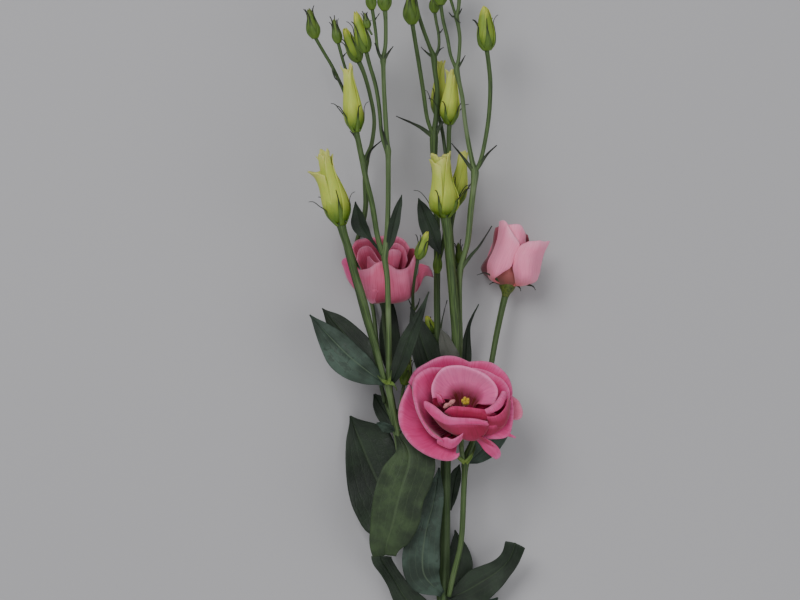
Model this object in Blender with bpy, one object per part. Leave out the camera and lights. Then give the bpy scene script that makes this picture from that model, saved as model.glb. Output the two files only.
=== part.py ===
"""A cut spray of lisianthus (Eustoma) lying on a flat surface: stems, leaves, buds and three flowers.

Every table below is in millimetres in the spray's own plan: +X right, +Y along the stem towards the
buds, +Z up from the surface, with the lowest branching node at X = 0, Y = 0. The last step moves the
whole spray so that its origin is the middle of the underside of its bounding box.
"""
import math

import bmesh
import bpy
from mathutils import Vector

# ---- driving dimensions, millimetres -------------------------------------------------------------
MM = 0.001
LEAF_THICKNESS = 0.7
PETAL_THICKNESS = 0.7
STEM_SIDES = 8
LEAF_STEPS = (9, 4)         # faces along and across a leaf
PETAL_STEPS = (6, 7)        # faces from claw to lip and across a petal
PETAL_PITCH = 2.1           # how far one side of a petal lies over its neighbour
TIP_HALF_WIDTH = 0.7        # half the width left at a leaf's two ends

# ---- finishes: linear colour, roughness ----------------------------------------------------------
FINISHES = {
    "stem": ((0.10, 0.17, 0.06), 0.5),
    "leaf": ((0.05, 0.10, 0.06), 0.55),
    "bud": ((0.28, 0.36, 0.08), 0.5),
    "petal_deep": ((0.45, 0.06, 0.14), 0.5),
    "petal_rose": ((0.50, 0.13, 0.22), 0.5),
    "petal_pale": ((0.62, 0.27, 0.34), 0.5),
    "pistil": ((0.65, 0.45, 0.30), 0.5),
}

# ---- shoots: centre line X, Y, Z and radius ------------------------------------------------------
MAIN_STEM = [
    (4.5, -195, 3.2, 3.1), (3.5, -161, 4.5, 3.1), (2, -124, 7, 3.1), (2, -84, 10, 3.3), (2, -56, 12, 3.1),
    (2, -29, 14.5, 3.6), (2, -14, 16, 3.1), (2, 0, 17, 3.6), (2.5, 23, 17.5, 3.1), (3, 47, 18, 3),
    (3, 71, 18, 2.9), (4, 89, 18, 2.8), (4.5, 107, 18.5, 2.7), (4.5, 115.5, 19, 3)]
RIGHT_BRANCH = [
    (6.5, 4, 22.6, 1.9), (8.5, 15.5, 23.5, 1.9), (12, 29, 24, 1.9), (13.5, 41.5, 24.5, 1.9),
    (14.5, 65.5, 25, 1.9), (15, 80, 25.5, 2.2), (16.5, 86, 25.5, 2.4), (20, 95.5, 24.5, 1.9),
    (27.5, 119.5, 20.5, 1.8), (31.5, 142.5, 17.5, 1.8), (34.5, 159, 15.4, 1.9), (38.5, 176.5, 14, 2.1),
    (40.5, 185.5, 14, 3.2), (41, 188.5, 14.1, 4.2)]
LEFT_BRANCH = [
    (-3, 4.5, 20.8, 2.2), (-7.5, 17, 22.5, 2.2), (-14.5, 32, 24, 2.2), (-19, 50.5, 26, 2.2),
    (-21.5, 68.5, 28, 2.3), (-24, 87, 31, 2.3), (-26, 102, 34, 2.4), (-29, 118.5, 37, 2.5),
    (-31, 129.5, 39, 3), (-30.5, 141, 42, 1.9), (-30.5, 156, 45.5, 1.8), (-31, 174, 49, 1.8),
    (-31.5, 192, 52, 1.8), (-33, 208, 54, 2.2), (-31.5, 222.5, 56, 1.8), (-31, 242.5, 57.5, 1.7),
    (-31, 268, 58.5, 1.9), (-32.5, 286.5, 59.5, 1.6), (-33.5, 305.5, 60.5, 1.5), (-34, 321.5, 61.5, 1.7),
    (-32.5, 332.5, 62.5, 1.4), (-32.5, 345.5, 63.5, 1.4), (-33, 352, 64, 1.7)]
REAR_SHOOT = [
    (-27.5, 103.5, 28.0, 1.6), (-32.5, 118.5, 22.5, 1.5), (-36, 131.5, 16.5, 1.4), (-38, 152.5, 9, 1.4),
    (-41, 177, 3.5, 1.3), (-47, 190, 2.2, 1.3), (-51, 203, 1.8, 1.3), (-50.5, 215, 2.1, 1.3),
    (-48, 227, 5, 1.3), (-46.2, 240, 10, 1.4), (-46, 252.5, 15, 1.5), (-44.5, 263.5, 20, 1.7), (-41, 274.5, 26, 1.4), (-39.5, 288.5, 30, 1.3),
    (-42, 303, 34, 1.3), (-45.5, 315.5, 37, 1.4), (-49, 323.5, 39, 1.7)]
CENTRE_SHOOT = [
    (4, 118.6, 19, 2.2), (2, 131.5, 17.5, 2.2), (-0.5, 149.5, 15, 2.2), (-1.5, 174, 14, 2.2),
    (-1.5, 198, 14, 2.2), (-1.5, 222.5, 14.5, 2.1), (-2, 246.5, 16, 2.1), (-3.5, 267.5, 18, 2.3),
    (-3.5, 278.5, 19, 2.4), (-2, 292, 20, 1.7), (-1.5, 307, 20.5, 1.6), (-3, 319, 20.5, 1.7),
    (-3.5, 326.5, 20.5, 1.9), (-6.5, 334, 21, 1.3), (-10.5, 345, 21, 1.3), (-13.5, 355, 21, 1.3),
    (-15.5, 365, 21, 1.6)]
RIGHT_SHOOT = [
    (8.9, 121, 19.5, 1.7), (11, 134.5, 20, 1.7), (12.5, 153, 21, 1.7), (12, 174, 23, 1.7),
    (12, 189, 25, 1.8), (12, 197.5, 26, 2.1), (14, 205.5, 27, 1.7), (16.5, 216, 28.5, 1.7),
    (18, 234, 30, 1.7), (19.5, 247.5, 32, 1.8), (20.5, 257, 33, 2.1), (19, 264, 33, 1.6),
    (17, 275, 33, 1.5), (15, 288, 32.5, 1.4), (13.5, 301.5, 32, 1.4), (11.5, 311, 31, 1.5),
    (10, 318.5, 30.5, 1.7), (11.5, 327.5, 30, 1.2), (12, 337.5, 29.5, 1.2), (11, 345.5, 29, 1.3),
    (10, 351, 29, 1.5), (11.5, 357.5, 29, 1.2), (12, 366.5, 29, 1.5)]
# a shoot that ends in a bud: its table, the bud's tip and the bud's greatest radius
ENDING_BUDS = {
    "left_branch": (LEFT_BRANCH, (-34, 372.5, 65), 3.8),
    "rear_shoot": (REAR_SHOOT, (-58, 344.5, 42), 4.2),
    "centre_shoot": (CENTRE_SHOOT, (-18.5, 381.5, 22), 4.0),
    "right_shoot": (RIGHT_SHOOT, (11.5, 382, 29), 3.0),
}

# ---- side buds: stalk X, Y, Z; stalk radius; bud tip; bud's greatest radius -----------------------
SIDE_BUDS = {
    "bud_01": ([(-34.8, 133, 43.9), (-37.5, 149, 46.5), (-42, 165, 49.5), (-46, 181, 52), (-51, 196.5, 53.5),
                (-54.5, 209.5, 54), (-57.5, 218.5, 54), (-59, 225, 54)], 1.6, (-70.5, 269, 57), 7.5),
    "bud_02": ([(-36.7, 209.6, 54), (-37.5, 218.5, 55.5), (-40.5, 236.5, 57), (-44, 251, 58), (-47, 266, 59),
                (-49.5, 276, 60), (-50.5, 281.5, 60.5)], 1.5, (-55, 318.5, 62), 6.0),
    "bud_03": ([(6, 121.5, 26.0), (8, 138, 25.8), (9, 156, 27), (7.5, 174, 28), (6, 189, 30), (4, 204, 32),
                (2.5, 219, 33.5), (2.5, 230, 34.5)], 2.3, (0, 270, 38), 8.5),
    "bud_04": ([(9.7, 200, 24.3), (8.3, 206, 23.3), (7.5, 214.5, 23), (7, 223.5, 22), (8.5, 232.5, 21.5),
                (10, 237, 21)], 1.2, (14.5, 270.5, 20), 5.5),
    "bud_05": ([(2.1, 205, 15), (3.0, 219.5, 16), (3.6, 237.5, 17.5), (4.6, 255.5, 19.5), (5.5, 270.5, 20.5),
                (5.5, 279.5, 21.5), (5.5, 287.5, 23)], 1.2, (6.5, 320, 26), 6.0),
    "bud_06": ([(4.0, 262.5, 16.2), (2.5, 277, 13.5), (0.5, 288, 12), (-1, 293.5, 11.5)], 1.2,
               (1, 327, 8), 4.2),
    "bud_07": ([(23.4, 259.5, 34.7), (24, 264, 34.5), (26, 274, 34.5), (28, 291, 35), (29.5, 309, 36),
                (29, 321, 37), (28, 330, 38)], 1.4, (26.5, 357, 40), 5.4),
    "bud_08": ([(-34.0, 268.5, 56.7), (-34.8, 278, 56.8), (-36.3, 294, 57), (-38.5, 307.5, 56.5), (-42, 319.5, 56),
                (-44.5, 328, 55.5)], 1.2, (-50.5, 351.5, 57), 4.2),
    "bud_09": ([(-47.3, 265, 20.6), (-48.5, 273.5, 25), (-53, 290, 32), (-57, 303.5, 37.5), (-64, 318.5, 43),
                (-69, 328, 45), (-73.5, 337, 46)], 1.1, (-78.5, 353, 47), 4.0),
    "bud_10": ([(-51.7, 294.5, 33.7), (-53.0, 304.5, 37.3), (-55.5, 314.5, 41.5), (-58.5, 324.5, 44.5),
                (-61, 334, 45)], 0.9, (-64, 347, 45.5), 2.7),
    "bud_11": ([(-36.5, 323.2, 62.8), (-37.2, 328, 62.8), (-38.5, 339.5, 63), (-40.5, 352.5, 64)], 1.0,
               (-42.9, 370.5, 65), 2.7),
    "bud_12": ([(-6.6, 282, 20.8), (-8.5, 290, 21), (-11, 307, 23), (-13.5, 324.5, 25), (-16, 338, 26.5),
                (-17.5, 346.5, 28)], 1.3, (-19, 369, 30), 4.8),
    "bud_13": ([(-0.8, 328.3, 20.5), (-0.6, 332.5, 20), (-0.6, 340.5, 19), (-2, 348, 18), (-3, 354.5, 17.5)],
               1.0, (-3.5, 370, 17), 2.8),
    "bud_14": ([(1.2, 131.5, 21.5), (0, 146.5, 19.5), (-0.5, 162, 19.3), (-0.5, 180, 19.5), (-1, 189, 20),
                (-1.5, 197, 20.7)], 0.8, (-1, 216, 22.5), 2.4),
    "bud_15": ([(-0.4, 127, 15.2), (-4.5, 140.5, 14), (-9.5, 152.5, 13.5), (-13.5, 165, 14),
                (-15.8, 174, 17.5), (-16.2, 184, 28), (-15, 195, 38), (-13, 204.5, 42)], 1.0,
               (-8, 220.5, 45), 3.3),
    "bud_16": ([(7.4, 321, 30), (6.4, 327.5, 29.5), (4.5, 338, 28), (2, 348.5, 27), (0.5, 358.5, 26.5)],
               1.2, (-1, 379, 26), 4.0),
}
# a bud's outline: share of its length, share of its greatest radius
BUD_OUTLINE = [(0.06, 0.62), (0.2, 0.92), (0.38, 1.0), (0.58, 0.82), (0.8, 0.48), (1.0, 0.12)]

# ---- leaves: midrib X, Y, Z; half width; the way the upper face looks; how far the sides rise ------
LEAVES = {
    "leaf_01": ([(-36, 130, 40.8), (-48, 141, 40.5), (-63, 155, 37), (-78, 171, 30.5)], 11.5, (0, 0, 1), 2),
    "leaf_02": ([(-35.5, 133, 36), (-47, 145.5, 30), (-59, 160.5, 24), (-71, 175, 20)], 9, (0, 0, 1), 2),
    "leaf_03": ([(-29.3, 134.5, 32), (-25.5, 150, 17), (-24.5, 164, 7), (-25, 175, 3.4)], 5, (0.4, 0.6, 1), 1),
    "leaf_04": ([(-26.8, 131.5, 45), (-25, 147, 49), (-18.5, 165, 52), (-7.5, 184, 55)], 5.5,
                (0.3, -0.2, 1), 1),
    "leaf_05": ([(-1, 126, 22.3), (-4.5, 138, 22.5), (-8.5, 151, 22), (-15, 169.5, 21)], 8, (0, 0, 1), 2),
    "leaf_06": ([(9, 131.0, 15), (8, 139.5, 15.5), (5.5, 150, 17), (3.2, 160, 19)], 3.2, (0.2, -0.2, 1), 0.5),
    "leaf_07": ([(14, 128.5, 16), (15.5, 148.5, 16), (16, 163, 18), (23.5, 177.5, 22)], 3.5, (0.2, 0, 1), 1),
    "leaf_08": ([(-35.8, 206.5, 51.5), (-43, 214, 50), (-49, 225, 50), (-49.5, 238, 51)], 3.6, (0, 0, 1), 1),
    "leaf_09": ([(-28.8, 210.5, 54.5), (-26, 218, 55), (-23.5, 230, 54.5), (-22, 243, 54)], 2.6, (0, 0, 1), 0.8),
    "leaf_10": ([(0.3, 209.5, 27.5), (-2.5, 218.5, 26), (-6, 228.5, 23.5), (-12.5, 241.5, 20)], 5,
                (0, 0, 1), 1),
    "leaf_11": ([(-23, 86.5, 26.6), (-29, 98.5, 22), (-33.5, 108.5, 16), (-40, 117, 12)], 4.2,
                (0, 0, 1), 1),
    "leaf_12": ([(-18, 43.5, 20), (-29, 61.5, 13), (-42.5, 87.5, 7), (-55, 109.5, 5)], 17, (0, 0, 1), 4),
    "leaf_13": ([(-21.5, 94.5, 34.5), (-18.5, 82, 38.5), (-24.5, 66, 41), (-28, 47, 41), (-33, 27, 33)], 14.5,
                (0.1, 0, 1), 3),
    "leaf_14": ([(-0.5, 5.5, 27), (-8.5, 18, 31.5), (-8.5, 36, 32), (-3, 58, 30), (-0.5, 79, 27)], 9.5,
                (0.1, 0, 1), 1),
    "leaf_15": ([(6.5, 1.5, 11.5), (9.5, 14, 7.5), (11.5, 26, 5), (10, 38, 4)], 7.5, (0, 0, 1), 1.5),
    "leaf_16": ([(9.2, 0.5, 19), (21, 6, 14), (34.5, 15, 10), (45, 25, 14), (53, 30.5, 20)], 8.5,
                (0, 0, 1), 2),
    "leaf_17": ([(-3, -26, 13), (-14.5, -9.5, 10), (-26.5, 5, 9), (-34.5, 15.5, 15), (-41.5, 21, 22)], 9,
                (0, 0, 1), 1.5),
    "leaf_18": ([(17.5, 81.5, 19), (25.5, 91.5, 14), (36, 104, 12), (45, 123.5, 14)], 7, (0, 0, 1), 1.5),
}

# ---- flowers ---------------------------------------------------------------------------------------
# stalk X, Y, Z, radius; receptacle; axis; petal rings: finish, count, first angle, spread of a petal
# in degrees, profile of radius and height from claw to lip
FLOWERS = {
    "flower_a": dict(
        stalk=[(14, 87.8, 30.4, 1.5), (13, 92, 30.6, 1.5), (13, 97.5, 30.4, 1.7), (13.2, 101.5, 30.6, 3.0),
               (13.5, 104.5, 31.6, 4.6)],
        receptacle=(13.5, 105, 32.5), axis=(0, 0.5, 0.866),
        rings=[("petal_rose", 5, 20, 100, [(6.5, 2.2), (12, 8.5), (19, 14.5), (27, 19), (35, 21.5)]),
               ("petal_deep", 3, 50, 150, [(5.0, 5.5), (9, 12), (14, 18.5), (18.5, 23.5), (24, 27)])]),
    "flower_b": dict(
        stalk=[(-30.9, 138.5, 34.2, 1.6), (-31.8, 150, 27, 1.4), (-33.5, 165, 15.5, 1.4), (-33.6, 174, 10.4, 2.0),
               (-33.5, 179.8, 10.0, 4.4)],
        receptacle=(-33.5, 180.5, 10.3), axis=(0, 0.9, 0.42),
        rings=[("petal_rose", 5, 60, 96, [(5.6, 1.6), (12, 7), (16.5, 14), (18.5, 23), (22.5, 30), (26, 33)])]),
    "flower_c": dict(
        stalk=None, receptacle=(41, 189, 14.3), axis=(0.08, 0.96, 0.2),
        rings=[("petal_pale", 4, 30, 118, [(4.8, 2.0), (10, 7), (14, 15), (15.5, 23), (18.5, 30), (21, 34)])]),
}
PISTIL = [(1.6, 3.0), (2.6, 7.0), (1.3, 11.0), (1.0, 15.0), (2.6, 18.0), (1.2, 20.5)]   # radius, height


def clear_scene():
    for item in list(bpy.data.objects):
        bpy.data.objects.remove(item, do_unlink=True)


def finish_for(name, kind):
    colour, roughness = FINISHES[kind]
    material = bpy.data.materials.new(name + "_finish")
    material.use_nodes = True
    shader = material.node_tree.nodes["Principled BSDF"]
    shader.inputs["Base Color"].default_value = (*colour, 1)
    shader.inputs["Roughness"].default_value = roughness
    shader.inputs["Metallic"].default_value = 0
    return material


def add_object(name, mesh_builder, kind, parent):
    mesh = bpy.data.meshes.new(name)
    mesh_builder.to_mesh(mesh)
    mesh_builder.free()
    mesh.shade_smooth()
    mesh.materials.append(finish_for(name, kind))
    item = bpy.data.objects.new(name, mesh)
    bpy.context.collection.objects.link(item)
    item.parent = parent
    return item


def smooth_run(points, steps):
    """Points read from a smooth curve through the given ones, each with as many numbers as they have."""
    run = []
    last = len(points) - 1
    for index in range(last):
        before = points[max(index - 1, 0)]
        start, end = points[index], points[index + 1]
        after = points[min(index + 2, last)]
        for step in range(steps):
            t = step / steps
            run.append(tuple(
                0.5 * (2 * b + (c - a) * t + (2 * a - 5 * b + 4 * c - d) * t ** 2
                       + (3 * b - a - 3 * c + d) * t ** 3)
                for a, b, c, d in zip(before, start, end, after)))
    run.append(tuple(points[last]))
    return run


def at_share(run, share):
    """The point a share of the way along a run, by its point count."""
    place = share * (len(run) - 1)
    low = min(int(place), len(run) - 2)
    part = place - low
    return Vector([a + (b - a) * part for a, b in zip(run[low], run[low + 1])])


def tube(name, sections, kind, parent):
    """A closed round bar through sections of X, Y, Z and radius."""
    builder = bmesh.new()
    centres = [Vector(section[:3]) for section in sections]
    side = None
    rings = []
    for index, centre in enumerate(centres):
        ahead = centres[min(index + 1, len(centres) - 1)]
        behind = centres[max(index - 1, 0)]
        along = (ahead - behind).normalized()
        if side is None:
            side = along.cross(Vector((0, 0, 1))).normalized()
        side = (side - along * side.dot(along)).normalized()
        other = along.cross(side)
        radius = sections[index][3]
        ring = []
        for corner in range(STEM_SIDES):
            angle = 2 * math.pi * corner / STEM_SIDES
            ring.append(builder.verts.new(
                (centre + (side * math.cos(angle) + other * math.sin(angle)) * radius) * MM))
        rings.append(ring)
    for ring, following in zip(rings, rings[1:]):
        for corner in range(STEM_SIDES):
            beside = (corner + 1) % STEM_SIDES
            builder.faces.new((ring[corner], ring[beside], following[beside], following[corner]))
    builder.faces.new(list(reversed(rings[0])))
    builder.faces.new(rings[-1])
    bmesh.ops.recalc_face_normals(builder, faces=builder.faces)
    return add_object(name, builder, kind, parent)


def bud_sections(base, tip, radius):
    base, tip = Vector(base), Vector(tip)
    return [(*(base + (tip - base) * share), radius * fullness) for share, fullness in BUD_OUTLINE]


def sheet(name, rows, thickness, kind, parent):
    """A thin closed sheet from rows of points, half its thickness on each side of them."""
    builder = bmesh.new()
    grid = [[builder.verts.new(point * MM) for point in row] for row in rows]
    for row, following in zip(grid, grid[1:]):
        for index in range(len(row) - 1):
            builder.faces.new((row[index], row[index + 1], following[index + 1], following[index]))
    item = add_object(name, builder, kind, parent)
    wall = item.modifiers.new("wall", "SOLIDIFY")
    wall.thickness = thickness * MM
    wall.offset = 0
    wall.use_even_offset = False
    return item


def leaf(name, midrib, half_width, facing, rise, parent):
    """A pointed blade along its midrib, with its two sides lifted towards its upper face."""
    along_count, across_count = LEAF_STEPS
    run = smooth_run(midrib, 4)
    facing = Vector(facing)
    rows = []
    for step in range(along_count + 1):
        share = step / along_count
        centre = at_share(run, share)
        along = (at_share(run, min(share + 0.05, 1)) - at_share(run, max(share - 0.05, 0))).normalized()
        across = along.cross(facing).normalized()
        up = across.cross(along)
        width = TIP_HALF_WIDTH + half_width * math.sin(math.pi * share ** 0.85) ** 0.8
        fullness = width / (TIP_HALF_WIDTH + half_width)
        row = []
        for place in range(across_count + 1):
            side = 2 * place / across_count - 1
            row.append(centre + across * side * width + up * rise * fullness * side ** 2)
        rows.append(row)
    return sheet(name, rows, LEAF_THICKNESS, "leaf", parent)


def flower_frame(axis):
    axis = Vector(axis).normalized()
    right = Vector((1, 0, 0))
    right = (right - axis * right.dot(axis)).normalized()
    return axis, right, axis.cross(right)


def petal(name, receptacle, axis, profile, middle, spread, kind, parent):
    """One petal of a ring: each lies over the next one with one side and under it with the other."""
    rows_count, across_count = PETAL_STEPS
    axis, right, back = flower_frame(axis)
    receptacle = Vector(receptacle)
    run = smooth_run(profile, 4)
    rows = []
    for step in range(rows_count + 1):
        row = []
        for place in range(across_count + 1):
            share = place / across_count
            rounding = 1 - 0.14 * (2 * share - 1) ** 2
            height = step / rows_count * rounding
            here = at_share(run, height)
            slope = at_share(run, min(height + 0.04, 1)) - at_share(run, max(height - 0.04, 0))
            slope.normalize()
            lift = PETAL_PITCH * (share - 0.5)
            radius = here.x - slope.y * lift
            up = here.y + slope.x * lift
            fullness = 0.62 + 0.38 * math.sin(math.pi / 2 * min(1, height * 2.2))
            angle = math.radians(middle + (share - 0.5) * spread * fullness)
            row.append(receptacle + axis * up
                       + (right * math.cos(angle) + back * math.sin(angle)) * radius)
        rows.append(row)
    return sheet(name, rows, PETAL_THICKNESS, kind, parent)


def flower(name, design, parent):
    if design["stalk"]:
        tube(name + "_stalk", smooth_run(design["stalk"], 2), "stem", parent)
    number = 0
    for kind, count, first, spread, profile in design["rings"]:
        for index in range(count):
            number += 1
            middle = first + index * 360 / count
            petal(f"{name}_petal_{number}", design["receptacle"], design["axis"], profile, middle,
                  spread, kind, parent)


def pistil(name, design, parent):
    axis = Vector(design["axis"]).normalized()
    base = Vector(design["receptacle"])
    tube(name, [(*(base + axis * height), radius) for radius, height in PISTIL], "pistil", parent)


def middle_of_underside(parent):
    """Move the whole spray so that the middle of its box's underside is the origin."""
    bpy.context.view_layer.update()
    shapes = bpy.context.evaluated_depsgraph_get()
    corners = []
    for item in parent.children:
        shape = item.evaluated_get(shapes)
        corners += [shape.matrix_world @ vertex.co for vertex in shape.data.vertices]
    low = [min(corner[axis] for corner in corners) for axis in range(3)]
    high = [max(corner[axis] for corner in corners) for axis in range(3)]
    parent.location = (-(low[0] + high[0]) / 2, -(low[1] + high[1]) / 2, -low[2])
    bpy.context.view_layer.update()


def build():
    clear_scene()
    spray = bpy.data.objects.new("spray", None)
    bpy.context.collection.objects.link(spray)
    tube("main_stem", smooth_run(MAIN_STEM, 2), "stem", spray)
    tube("right_branch", smooth_run(RIGHT_BRANCH, 2), "stem", spray)
    for name, (points, tip, radius) in ENDING_BUDS.items():
        tube(name, smooth_run(points, 1) + bud_sections(points[-1][:3], tip, radius), "stem", spray)
    for name, (points, stalk_radius, tip, radius) in SIDE_BUDS.items():
        stalk = [(*point, stalk_radius) for point in points]
        tube(name, smooth_run(stalk, 1) + bud_sections(points[-1], tip, radius), "bud", spray)
    for name, (midrib, half_width, facing, rise) in LEAVES.items():
        leaf(name, midrib, half_width, facing, rise, spray)
    for name, design in FLOWERS.items():
        flower(name, design, spray)
    pistil("flower_a_pistil", FLOWERS["flower_a"], spray)
    middle_of_underside(spray)


build()
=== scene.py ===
"""Looks for a cut spray of lisianthus that lies on a pale floor and is seen from straight above.

The tables are in millimetres in the spray's own plan, as in the CAD part: +X right, +Y along the stem
towards the buds, +Z up from the floor. plan_to_frame moves a point of the plan into the frame.
"""
import math
import random

import bmesh
import bpy
import numpy as np
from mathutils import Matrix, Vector


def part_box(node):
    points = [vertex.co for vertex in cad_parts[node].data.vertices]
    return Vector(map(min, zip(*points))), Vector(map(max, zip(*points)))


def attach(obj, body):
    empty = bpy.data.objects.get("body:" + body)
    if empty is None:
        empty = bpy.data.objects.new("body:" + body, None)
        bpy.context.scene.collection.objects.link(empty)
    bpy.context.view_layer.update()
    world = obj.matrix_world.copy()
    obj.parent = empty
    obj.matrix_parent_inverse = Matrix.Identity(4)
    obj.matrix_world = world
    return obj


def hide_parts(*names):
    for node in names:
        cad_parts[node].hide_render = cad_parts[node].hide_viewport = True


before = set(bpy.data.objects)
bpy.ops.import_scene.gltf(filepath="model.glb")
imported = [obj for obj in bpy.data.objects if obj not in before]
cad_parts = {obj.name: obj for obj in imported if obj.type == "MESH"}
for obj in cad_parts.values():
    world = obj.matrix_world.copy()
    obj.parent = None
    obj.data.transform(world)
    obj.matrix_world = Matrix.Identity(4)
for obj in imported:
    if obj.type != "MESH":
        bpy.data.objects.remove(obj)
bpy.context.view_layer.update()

MM = 0.001
STEM_FOOT = Vector((-1.6, -195.13, 0.1))       # the main stem's lowest corner in the plan
FRAME_SHIFT = Vector(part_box("main_stem")[0]) - STEM_FOOT * MM

LEAF_WALL = 0.45
PETAL_WALL = 0.4
SEPAL_WALL = 0.35
NERVES = (0.34, 0.67)           # where a leaf's two side nerves lie, from its midrib to its edge
QUARTER_TURN = 1.57             # radians
CORE_SHARE = 0.86               # a bud's core against its closed petals
THICK_STALK = 2                 # a large bud's stalk that is thicker than this starts thinner
THICK_STALK_START = 0.68
FLOOR_HEIGHT = -0.0002          # metres, just clear of the spray
LIGHT_AIM = (0, 0.02, 0)


def plan_to_frame(point):
    return Vector(point) * MM + FRAME_SHIFT


# ---- curves ------------------------------------------------------------------------------------------
class Run:
    """A smooth curve through rows of numbers, read by the share of its length."""

    def __init__(self, rows, steps=8):
        rows = np.array(rows, dtype=float)
        padded = np.vstack([rows[0], rows, rows[-1]])
        dense = []
        for a, b, c, d in zip(padded, padded[1:], padded[2:], padded[3:]):
            for step in range(steps):
                t = step / steps
                dense.append(0.5 * (2 * b + (c - a) * t + (2 * a - 5 * b + 4 * c - d) * t ** 2
                                    + (3 * b - a - 3 * c + d) * t ** 3))
        dense.append(rows[-1])
        self.table = np.array(dense)
        sized = self.table[:, :3]
        lengths = np.linalg.norm(np.diff(sized, axis=0), axis=1)
        self.length = float(lengths.sum())
        self.marks = np.concatenate([[0], np.cumsum(lengths)]) / max(self.length, 1e-9)

    def at(self, share):
        share = min(max(share, 0), 1)
        return [float(np.interp(share, self.marks, column)) for column in self.table.T]

    def heading(self, share, reach=0.02):
        ahead, behind = self.at(share + reach), self.at(share - reach)
        return Vector([a - b for a, b in zip(ahead, behind)][:3]).normalized()


def ease(value):
    value = min(max(value, 0), 1)
    return value * value * (3 - 2 * value)


def axis_frame(axis, right=(1, 0, 0)):
    """A direction with two more square to it, the first as near as it can be to the one given."""
    axis = Vector(axis).normalized()
    right = Vector(right)
    right = (right - axis * right.dot(axis)).normalized()
    return axis, right, axis.cross(right)


# ---- pieces ------------------------------------------------------------------------------------------
class Piece:
    """One finished piece, made of sheets or of bars placed in the plan."""

    def __init__(self, name):
        self.name = name
        self.shape = bmesh.new()
        self.uv = self.shape.loops.layers.uv.new("blade")
        self.tone = self.shape.verts.layers.float.new("tone")

    def sheet(self, steps, place, tone=0.5):
        """An open sheet: place(s, t) gives its point for s across and t along, both from 0 to 1."""
        grid = bmesh.ops.create_grid(self.shape, x_segments=steps[0], y_segments=steps[1], size=0.5)
        made = grid["verts"]
        for face in {face for vert in made for face in vert.link_faces}:
            face.smooth = True
            for loop in face.loops:
                loop[self.uv].uv = (loop.vert.co.x + 0.5, loop.vert.co.y + 0.5)
        for vert in made:
            vert[self.tone] = tone
            vert.co = plan_to_frame(place(vert.co.x + 0.5, vert.co.y + 0.5))
        return made

    def bar(self, steps, place, tone=0.5):
        """A closed bar: the sheet's two sides meet, and both of its ends are capped."""
        made = self.sheet(steps, place, tone)
        bmesh.ops.remove_doubles(self.shape, verts=made, dist=1e-7)
        made = {vert for vert in made if vert.is_valid}
        rims = [edge for edge in self.shape.edges if edge.is_boundary and edge.verts[0] in made]
        bmesh.ops.holes_fill(self.shape, edges=rims, sides=0)
        faces = list({face for vert in made for face in vert.link_faces})
        bmesh.ops.recalc_face_normals(self.shape, faces=faces)

    def done(self, finish, slot, nodes=(), wall=None):
        mesh = bpy.data.meshes.new(self.name)
        self.shape.to_mesh(mesh)
        self.shape.free()
        mesh.materials.append(finish)
        item = bpy.data.objects.new(self.name, mesh)
        bpy.context.collection.objects.link(item)
        if wall:
            thickness = item.modifiers.new("wall", "SOLIDIFY")
            thickness.thickness = wall * MM
            thickness.offset = 0
            thickness.use_even_offset = False
        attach(item, "root")
        if nodes:
            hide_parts(*nodes)
        return item


# ---- shader maths --------------------------------------------------------------------------------------
class Wire:
    """A socket in a finish's node tree, on which + - and * add Math nodes."""

    def __init__(self, finish, socket):
        self.finish, self.socket = finish, socket

    def maths(self, operation, first, second=None, clamp=False):
        values = {0: first} if second is None else {0: first, 1: second}
        return self.finish.node("ShaderNodeMath", dict(operation=operation, use_clamp=clamp), values)

    def __add__(self, other):
        return self.maths("ADD", self, other)

    __radd__ = __add__

    def __sub__(self, other):
        return self.maths("SUBTRACT", self, other)

    def __rsub__(self, other):
        return self.maths("SUBTRACT", other, self)

    def __mul__(self, other):
        return self.maths("MULTIPLY", self, other)

    def __abs__(self):
        return self.maths("ABSOLUTE", self)

    def sine(self):
        return self.maths("SINE", self)

    def held(self):
        """The value kept between 0 and 1."""
        return self.maths("MULTIPLY", self, 1.0, clamp=True)


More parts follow.
